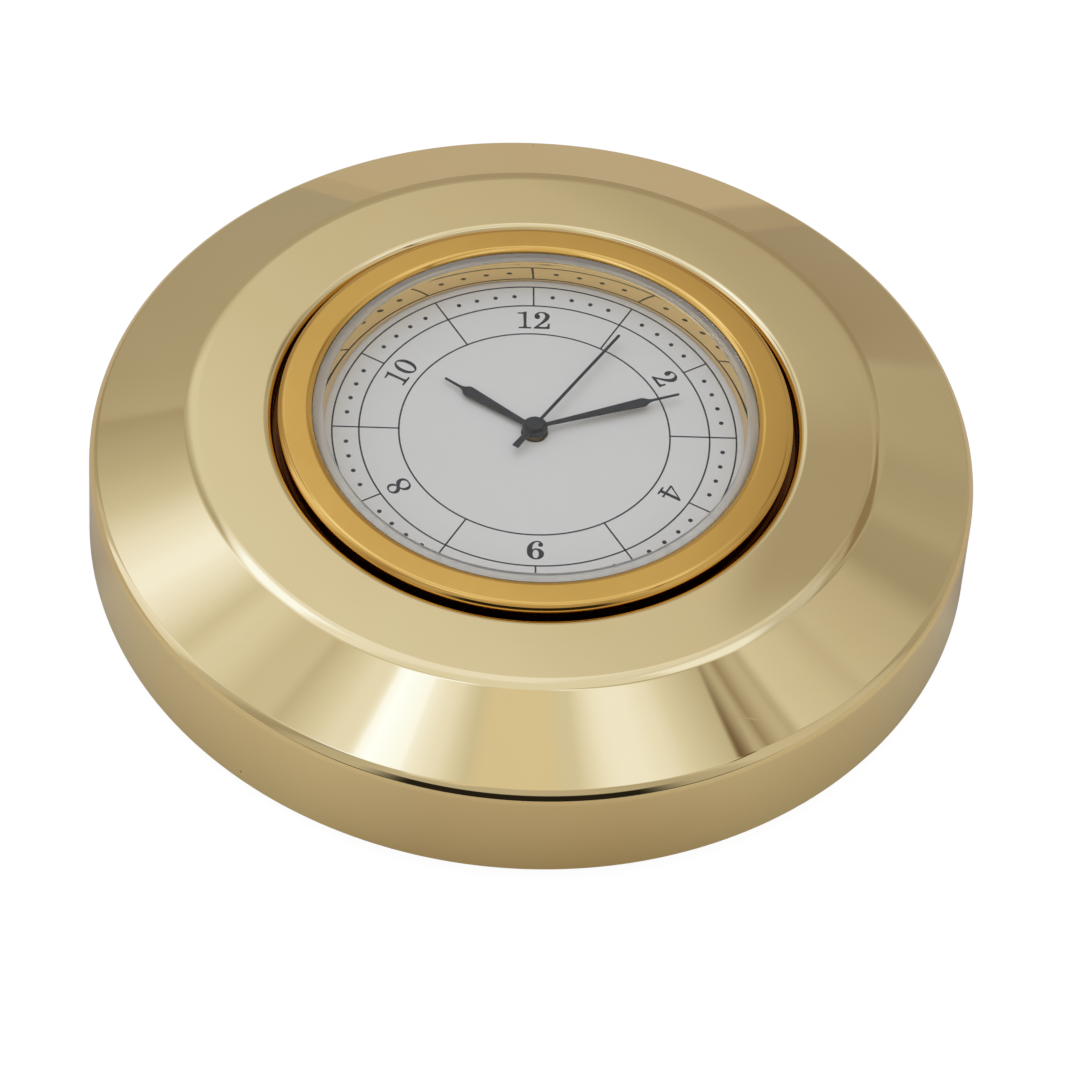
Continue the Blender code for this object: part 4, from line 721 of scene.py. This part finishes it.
def start_shape():
    """Move a new primitive's place into its mesh, and open it in edit mode with all of it selected."""
    bpy.ops.object.transform_apply(location=True)
    bpy.ops.object.mode_set(mode="EDIT")
    bpy.ops.mesh.select_all(action="SELECT")
    return bpy.context.object


def end_shape():
    """Point all faces outwards and leave edit mode."""
    bpy.ops.mesh.select_all(action="SELECT")
    bpy.ops.mesh.normals_make_consistent(inside=False)
    bpy.ops.object.mode_set(mode="OBJECT")


def raise_up(amount):
    """Extrude what is selected straight up, in millimetres."""
    bpy.ops.mesh.extrude_region_move(TRANSFORM_OT_translate={"value": (0, 0, amount * MM)})


def select_edges(piece, chosen):
    """Select the edges whose two ends both pass a test."""
    bpy.ops.mesh.select_mode(type="EDGE")
    bpy.ops.mesh.select_all(action="DESELECT")
    shape = bmesh.from_edit_mesh(piece.data)
    for side in shape.edges:
        if all(chosen(vert.co) for vert in side.verts):
            side.select_set(True)
    bmesh.update_edit_mesh(piece.data)


def near(value, millimetres):
    """Whether a coordinate is at this many millimetres."""
    return abs(value - millimetres * MM) < TOLERANCE


def turn_piece(name, section, bevels=(), hollow=False, sides=ROUND):
    """Turn a closed piece from (radius, height) points in millimetres, and bevel some of its edges."""
    deselect()
    radius, level = section[0]
    bpy.ops.mesh.primitive_circle_add(vertices=sides, radius=radius * MM, location=(0, 0, level * MM))
    piece = start_shape()
    piece.name = name
    for (before, low), (after, high) in zip(section, section[1:]):
        raise_up(high - low)
        share = after / before
        bpy.ops.transform.resize(value=(share, share, 1), center_override=(0, 0, 0))
    bpy.ops.mesh.select_mode(type="EDGE")
    bpy.ops.mesh.select_all(action="DESELECT")
    bpy.ops.mesh.select_non_manifold()
    if hollow:
        bpy.ops.mesh.bridge_edge_loops()
    else:
        bpy.ops.mesh.fill_holes(sides=0)
    for radius, level, width, segments in bevels:
        select_edges(piece, lambda place: near(math.hypot(*place.xy), radius) and near(place.z, level))
        bpy.ops.mesh.bevel(offset=width * MM, segments=segments, profile=0.5, affect="EDGES")
    end_shape()
    smooth(piece)
    return piece


def smooth(piece, degrees=35):
    """Smooth shading with sharp creases and flat flats."""
    pick(piece)
    bpy.ops.object.shade_smooth_by_angle(angle=math.radians(degrees))
    weigh = piece.modifiers.new("flat flats", "WEIGHTED_NORMAL")
    weigh.keep_sharp = True
    bpy.ops.object.modifier_apply(modifier=weigh.name)


def dress(piece, slot, body, *nodes):
    """Give a piece its finish and its body, and let it stand for CAD nodes."""
    piece.data.materials.clear()
    piece.data.materials.append(finish[slot])
    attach(piece, body)
    if nodes:
        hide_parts(*nodes)
    sizes = [round(x / MM, 2) for x in piece.dimensions]
    print(piece.name, sizes, "mm,", len(piece.data.polygons), "faces")
    return piece


# %% [markdown]
# ## The weight
#
# One bar of brass: a foot, an upright wall, a slope up to the flat top, and a bore with a wider recess
# for the bezel. The shoulder's rounding carries the dark line at the front of the photograph, so it gets
# twelve segments.

# %% Turn the weight
weight = turn_piece(
    "brass_weight",
    [
        (23.0, 2.7), (23.0, 13.7), (25.17, 13.7), (25.17, 16.0), (32.95, 16.0),
        (42.66, 11.52), (42.97, 1.3), (40.0, 1.3),
    ],
    bevels=[
        (42.97, 1.3, 0.12, 3), (42.66, 11.52, 0.92, 12), (32.95, 16.0, 0.72, 10),
        (25.17, 16.0, 0.90, 8), (25.17, 13.7, 0.10, 2), (23.0, 13.7, 0.15, 2),
    ],
)
dress(weight, "polished_brass", "weight", "weight_body")

# %% [markdown]
# ## The felt
#
# A disc punched from wool felt and glued under the weight. Its edge is cut straight and a little fuzzy,
# so its rings are moved in and out by a fraction of a millimetre.

# %% Punch the felt
FELT_RADIUS = 40.5
FUZZY_FROM = 39.5
FUZZ_MIDDLE, FUZZ_SIZE = 0.03, 0.02
felt = turn_piece(
    "felt_disc",
    [(38.0, 0.0), (FELT_RADIUS, 0.0), (FELT_RADIUS, 1.0), (38.0, 1.0)],
    bevels=[(FELT_RADIUS, 0.0, 0.12, 2), (FELT_RADIUS, 1.0, 0.2, 3)],
    sides=360,
)
for vert in felt.data.vertices:
    reach = math.hypot(vert.co.x, vert.co.y)
    if reach > FUZZY_FROM * MM:
        angle = math.atan2(vert.co.y, vert.co.x)
        fuzz = math.sin(97 * angle + 3000 * vert.co.z) + math.sin(61 * angle) * math.cos(23 * angle)
        share = 1.0 - (FUZZ_MIDDLE + FUZZ_SIZE * fuzz) * MM / reach
        vert.co.x *= share
        vert.co.y *= share
dress(felt, "felt", "weight", "felt_pad")

# %% [markdown]
# ## The case
#
# The bezel is a gilt ring with a flat face, a rounded outer edge and a bright chamfer at the glass. Under
# the glass stands a polished wall that mirrors the minute track. The nylon gasket grips the glass, and its
# lip lies on the glass's stepped edge: it shows as the milky band round the dial.

# %% Bezel, inner wall, gasket and crystal
bezel = turn_piece(
    "gilt_bezel",
    [(24.7, 14.0), (24.7, 16.8), (21.9, 16.8), (21.4, 16.57), (21.4, 14.7), (23.7, 14.7), (23.7, 14.0)],
    bevels=[(24.7, 14.0, 0.15, 2), (24.7, 16.8, 0.70, 10), (21.9, 16.8, 0.12, 4), (21.4, 16.57, 0.05, 2)],
    hollow=True,
)
dress(bezel, "bezel_gold", "insert", "bezel")
inner_wall = turn_piece(
    "mirror_wall",
    [(20.2, 13.2), (20.53, 15.2), (21.35, 15.2), (21.35, 14.6), (20.95, 14.6), (20.95, 13.08)],
    bevels=[(20.53, 15.2, 0.05, 2)],
    hollow=True,
)
dress(inner_wall, "reflector_gold", "insert", "reflector_ring")
gasket = turn_piece(
    "glass_gasket",
    [
        (21.05, 15.21), (21.05, 15.97), (20.32, 16.1), (20.32, 16.53), (20.42, 16.57), (21.0, 16.54),
        (21.35, 16.42), (21.35, 15.21),
    ],
    bevels=[(21.35, 16.42, 0.04, 2)],
    hollow=True,
)
dress(gasket, "gasket_nylon", "insert", "crystal_gasket")
crystal = turn_piece(
    "flat_crystal",
    [(21.0, 15.3), (21.0, 15.95), (20.34, 16.12), (20.34, 16.5)],
    bevels=[(21.0, 15.3, 0.05, 2)],
)
dress(crystal, "crystal_glass", "insert", "crystal")

# %% [markdown]
# The cup and its rubber ring show when the insert is lifted out. Three soft ribs on the ring press on the
# bore. Each rib's section is one wave of a squared sine.

# %% Cup and grip ring
cup = turn_piece(
    "steel_cup",
    [
        (22.0, 4.5), (22.0, 7.45), (21.6, 7.45), (21.6, 11.05), (22.0, 11.05), (22.0, 14.0),
        (23.6, 14.0), (23.6, 14.6), (21.1, 14.6), (21.1, 5.4), (21.55, 5.4), (21.55, 4.5),
    ],
    bevels=[(22.0, 4.5, 0.2, 4), (23.6, 14.6, 0.08, 2), (23.6, 14.0, 0.08, 2), (22.0, 14.0, 0.15, 3)],
    hollow=True,
)
dress(cup, "plated_steel", "insert", "case_cup")
RIBS, RIB_STEPS = 3, 8
GRIP_INSIDE, GRIP_BOTTOM, GRIP_TOP = 21.65, 7.55, 10.95
RIB_ROOT, RIB_RISE, RIB_SPAN = 22.1, 0.8, 3.4
grip_section = [(GRIP_INSIDE, GRIP_BOTTOM)]
for step in range(RIBS * RIB_STEPS + 1):
    wave = math.sin(math.pi * step / RIB_STEPS) ** 2
    grip_section.append((RIB_ROOT + RIB_RISE * wave, GRIP_BOTTOM + RIB_SPAN * step / (RIBS * RIB_STEPS)))
grip_section.append((GRIP_INSIDE, GRIP_TOP))
grip = turn_piece("rubber_grip", grip_section, hollow=True, sides=192)
dress(grip, "grip_rubber", "insert", "grip_ring")

# %% [markdown]
# ## The dial
#
# The dial is a thin disc. Its print could be drawn in the material, but real print is a layer of ink, so
# it is modelled: three circles, forty-eight dots, twelve hour lines and six numerals, each a film a
# hundredth of a millimetre thick. What repeats is made once, then copied and turned.

# %% Dial plate and printed circles
DIAL_BACK, DIAL_TOP = 12.58, 12.98
DIAL_HOLE, DIAL_RADIUS = 1.3, 21.0
INK, INK_SINK = 0.012, 0.005
TRACKS = [13.05, 16.88, 19.47]
LINE = 0.16
dial = turn_piece(
    "dial_plate",
    [(DIAL_HOLE, DIAL_BACK), (DIAL_HOLE, DIAL_TOP), (DIAL_RADIUS, DIAL_TOP), (DIAL_RADIUS, DIAL_BACK)],
    bevels=[(DIAL_HOLE, DIAL_TOP, 0.03, 2)],
    hollow=True,
)
dress(dial, "dial_enamel", "insert", "dial")


def join_pieces(name, pieces):
    """Join several objects into one mesh."""
    pick(*pieces)
    bpy.ops.object.join()
    pieces[0].name = name
    pieces[0].data.name = name
    return pieces[0]


rings = []
for track in TRACKS:
    inner, outer = track - LINE / 2, track + LINE / 2
    low, high = DIAL_TOP - INK_SINK, DIAL_TOP + INK
    rings.append(turn_piece("ring", [(inner, low), (inner, high), (outer, high), (outer, low)], hollow=True))
circles = join_pieces("printed_circles", rings)
dress(circles, "hand_black", "insert")

# %% Copying helper and the minute dots


def copies_round(name, original, angles):
    """Copies of a piece turned clockwise from twelve by these angles, joined into one."""
    pieces = []
    for angle in angles:
        copy = original.copy()
        copy.data = original.data.copy()
        bpy.context.scene.collection.objects.link(copy)
        copy.data.transform(turned(-angle, "Z"))
        pieces.append(copy)
    bpy.data.objects.remove(original)
    return join_pieces(name, pieces)


def raise_ink(rounding):
    """Give flat print its thickness and an inset ring round its top, in millimetres."""
    raise_up(INK_SINK + INK)
    bpy.ops.mesh.inset(thickness=rounding * MM)
    end_shape()


DOT_TRACK = 18.17
DOT_RADIUS = 0.225
deselect()
bpy.ops.mesh.primitive_circle_add(
    vertices=20, radius=DOT_RADIUS * MM, fill_type="NGON",
    location=(0, DOT_TRACK * MM, (DIAL_TOP - INK_SINK) * MM),
)
dot = start_shape()
raise_ink(0.01)
minutes = [6 * minute for minute in range(60) if minute % 5]
dots = copies_round("printed_dots", dot, minutes)
dress(dots, "hand_black", "insert")

# %% Hour lines, long at the odd hours and short at the even ones


def ink_line(inner, outer):
    """One thin printed line along +Y."""
    deselect()
    middle = (inner + outer) / 2 * MM
    bpy.ops.mesh.primitive_plane_add(size=LINE * MM, location=(0, middle, (DIAL_TOP - INK_SINK) * MM))
    piece = start_shape()
    bpy.ops.transform.resize(value=(1, (outer - inner) / LINE, 1), center_override=(0, middle, 0))
    raise_ink(0.008)
    return piece


long_lines = copies_round("printed_long_lines", ink_line(TRACKS[0], TRACKS[2]), range(30, 360, 60))
dress(long_lines, "hand_black", "insert")
short_lines = copies_round("printed_short_lines", ink_line(TRACKS[1], TRACKS[2]), range(0, 360, 60))
dress(short_lines, "hand_black", "insert")

# %% [markdown]
# ## The numerals
#
# The even hours are printed in an old newspaper face, with thick stems, thin serifs and round ball ends.
# Blender's own font has none of these, so each figure is drawn as a closed curve. A figure is 100 units
# tall. A point with a third item is a corner; the others are smooth, and Blender sets their handles.

# %% Figures, as closed outlines of points
FIGURES = {
    "0": [
        [(35, 100), (58, 88), (70.5, 50), (58, 12), (35, 0), (12, 12), (0, 50), (12, 88)],
        [(35, 93.5), (47, 82), (53.5, 50), (47, 18), (35, 6.5), (23, 18), (16.5, 50), (23, 82)],
    ],
    "1": [[
        (38.5, 100, 1), (34, 100, 1), (20, 95), (0, 93.5, 1), (0, 86.5, 1), (24, 86.5, 1), (24, 12),
        (21, 8.5, 1), (4, 8.0, 1), (4, 0, 1), (58, 0, 1), (58, 8.0, 1), (41.5, 8.5, 1), (38.5, 12),
    ]],
    "2": [[
        (0, 0, 1), (0, 6, 1), (20, 26), (41, 52), (49, 74), (45, 88), (34, 94), (24, 90.5), (20, 86, 1),
        (25.5, 78), (27, 67.5), (22, 59), (14, 57.5), (6, 63), (3.5, 74), (10, 90), (35, 100), (59, 93),
        (69, 75), (61, 53), (42, 33), (23, 16), (21, 12.5, 1), (48, 11.5), (57, 15), (60.5, 31, 1),
        (69.5, 31, 1), (68, 0, 1),
    ]],
    "4": [
        [
            (49, 100, 1), (57, 100, 1), (57, 33, 1), (69, 33.5), (74, 37, 1), (74, 21, 1), (69, 24.5),
            (57, 25, 1), (57, 8.5, 1), (70, 8, 1), (70, 0, 1), (27, 0, 1), (27, 8, 1), (42.5, 8.5, 1),
            (42.5, 25, 1), (0, 25, 1), (0, 32, 1),
        ],
        [(42.5, 33, 1), (9.5, 33, 1), (42.5, 82, 1)],
    ],
    "6": [
        [
            (42, 100), (59, 94), (66.5, 80), (64, 71), (57, 68.5), (49.5, 71), (46.5, 79), (50.5, 87.5),
            (52, 91, 1), (41, 93.5), (29, 84), (23, 66), (22, 52, 1), (30, 57.5), (42, 59), (61, 51),
            (70, 30), (61, 9), (36, 0), (10, 12), (0, 45), (11, 82),
        ],
        [(36, 51.5), (45, 46), (48.5, 30), (45, 13), (36, 7), (27, 13), (23.5, 28), (27, 45)],
    ],
    "8": [
        [
            (34, 100), (55, 93), (62, 77), (56, 62), (47, 54.5, 1), (61, 46), (68, 28), (59, 7), (34, 0),
            (9, 7), (0, 27), (6, 42), (19, 51, 1), (9, 61), (5, 75), (13, 93),
        ],
        [(34, 94), (46, 89), (50, 77), (46, 66), (39, 59.5), (26, 66), (19, 79), (23, 90)],
        [(33, 6.5), (49, 11), (54.5, 24), (46, 35), (27, 46.5), (17, 38), (14, 27), (19, 11)],
    ],
}
FIGURE_WIDTH = {"0": 70.5, "1": 58, "2": 69.5, "4": 74, "6": 70, "8": 68}
FIGURE_GAP = 11.0
FIGURE_HEIGHT = 2.29
NUMERAL_TRACK = 14.93

# %% Draw one figure as a curve, then make it a mesh


def draw_figure(name, outlines):
    """A flat filled curve from outlines of points."""
    curve = bpy.data.curves.new(name, "CURVE")
    curve.dimensions = "2D"
    curve.fill_mode = "BOTH"
    curve.resolution_u = 8
    curve.extrude = 1.0
    for outline in outlines:
        spline = curve.splines.new("BEZIER")
        spline.bezier_points.add(len(outline) - 1)
        spline.use_cyclic_u = True
        for point, place in zip(spline.bezier_points, outline):
            point.co = (place[0], place[1], 0.0)
            kind = "VECTOR" if len(place) > 2 else "AUTO"
            point.handle_left_type = kind
            point.handle_right_type = kind
    figure = bpy.data.objects.new(name, curve)
    bpy.context.scene.collection.objects.link(figure)
    pick(figure)
    bpy.ops.object.convert(target="MESH")
    return bpy.context.object


# %% Set the numerals round the dial
NUMERAL_SHIFT = {"2": -0.2, "4": -0.15}
for hour in (12, 2, 4, 6, 8, 10):
    text = str(hour)
    width = sum(FIGURE_WIDTH[sign] for sign in text) + FIGURE_GAP * (len(text) - 1)
    figures = []
    start = -width / 2
    for sign in text:
        figure = draw_figure("figure", FIGURES[sign])
        figure.data.transform(Matrix.Translation((start, -50.0, 0.0)))
        figures.append(figure)
        start += FIGURE_WIDTH[sign] + FIGURE_GAP
    numeral = join_pieces(f"numeral_{text}", figures)
    unit = FIGURE_HEIGHT * MM / 100
    numeral.data.transform(Matrix.Diagonal((unit, unit, INK * MM, 1.0)))
    if hour == 6:
        numeral.data.transform(turned(180, "Z"))
    shift = NUMERAL_SHIFT.get(text, 0.0)
    numeral.data.transform(Matrix.Translation((shift * MM, NUMERAL_TRACK * MM, DIAL_TOP * MM)))
    numeral.data.transform(turned(-30 * hour, "Z"))
    dress(numeral, "hand_black", "insert")

# %% [markdown]
# ## The hands
#
# Each hand is cut from sheet and blackened. Its blade is a strip that widens towards the end and then
# narrows to a needle. A plane's end edge is extruded from station to station and resized to the width
# there. The strip is then given its thickness, its upper edges are broken with a small bevel, and a
# Boolean unites it with the hub.

# %% Blade helper
BLADE_THICKNESS = 0.12
BLADE_BEVEL, BLADE_CROWN = 0.02, 0.012


def cut_blade(name, stations, base):
    """A flat blade along +X from (distance, half width) stations, in millimetres."""
    deselect()
    start, half = stations[0]
    bpy.ops.mesh.primitive_plane_add(size=2 * half * MM, location=((start - half) * MM, 0, base * MM))
    blade = start_shape()
    blade.name = name
    select_edges(blade, lambda place: near(place.x, start))
    for (here, before), (there, after) in zip(stations, stations[1:]):
        bpy.ops.mesh.extrude_region_move(TRANSFORM_OT_translate={"value": ((there - here) * MM, 0, 0)})
        bpy.ops.transform.resize(value=(1, after / before, 1), center_override=(there * MM, 0, base * MM))
    bpy.ops.mesh.select_all(action="SELECT")
    raise_up(BLADE_THICKNESS)
    bpy.ops.mesh.inset(thickness=BLADE_BEVEL * MM)
    bpy.ops.transform.translate(value=(0, 0, BLADE_CROWN * MM))
    end_shape()
    return blade


def unite(piece, other):
    """Unite two closed meshes into one."""
    pick(piece)
    union = piece.modifiers.new("unite", "BOOLEAN")
    union.operation = "UNION"
    union.solver = "EXACT"
    union.object = other
    bpy.ops.object.modifier_apply(modifier=union.name)
    bpy.data.objects.remove(other)
    smooth(piece)
    return piece


# %% Hub and pointing helpers
HUB_RADIUS, HUB_SIDES = 1.22, 64


def ring_hub(name, bore, base, depth, bevel):
    """A hand's ring, in millimetres, with its upper outer edge bevelled."""
    top = base + depth
    section = [(bore, base), (bore, top), (HUB_RADIUS, top), (HUB_RADIUS, base)]
    return turn_piece(name, section, bevels=[(HUB_RADIUS, top, *bevel)], hollow=True, sides=HUB_SIDES)


def point_hand(hand, degrees, body, node):
    """Turn a hand clockwise from twelve, and dress it."""
    hand.data.transform(turned(90 - degrees, "Z"))
    dress(hand, "hand_black", body, node)


# %% Hour, minute and second hands
HOUR_Z, MINUTE_Z, SECOND_Z = 13.43, 13.68, 13.93
HOUR_DEGREES, MINUTE_DEGREES, SECOND_DEGREES = 305.9, 70.9, 34.2
hour_blade = [
    (1.25, 0.30), (3.0, 0.375), (5.0, 0.475), (7.0, 0.585), (7.7, 0.625), (8.0, 0.62), (8.2, 0.52),
    (8.4, 0.34), (8.6, 0.20), (8.9, 0.125), (10.6, 0.105), (10.7, 0.09),
]
hour_hub = ring_hub("hour_hand_black", 1.10, HOUR_Z, 0.24, (0.03, 2))
point_hand(unite(hour_hub, cut_blade("blade", hour_blade, HOUR_Z)), HOUR_DEGREES, "hours", "hour_hand")

minute_blade = [
    (1.15, 0.20), (4.0, 0.29), (8.0, 0.42), (10.6, 0.52), (11.1, 0.54), (11.35, 0.45), (11.6, 0.28),
    (11.85, 0.16), (12.2, 0.115), (14.75, 0.10), (14.84, 0.085),
]
minute_hub = ring_hub("minute_hand_black", 0.75, MINUTE_Z, 0.22, (0.05, 3))
minute_hand = unite(minute_hub, cut_blade("blade", minute_blade, MINUTE_Z))
point_hand(minute_hand, MINUTE_DEGREES, "minutes", "minute_hand")

CAP_RADIUS, CAP_TOP = 0.84, SECOND_Z + 0.40
second_hub = turn_piece(
    "second_hand_black", [(CAP_RADIUS, SECOND_Z), (CAP_RADIUS, CAP_TOP)],
    bevels=[(CAP_RADIUS, CAP_TOP, 0.04, 3)], sides=HUB_SIDES,
)
needle = cut_blade("needle", [(0.6, 0.15), (14.7, 0.13), (14.83, 0.11)], SECOND_Z)
tail = cut_blade("tail", [(0.5, 0.25), (3.4, 0.34)], SECOND_Z)
tail.data.transform(turned(180, "Z"))
point_hand(unite(unite(second_hub, needle), tail), SECOND_DEGREES, "seconds", "second_hand")
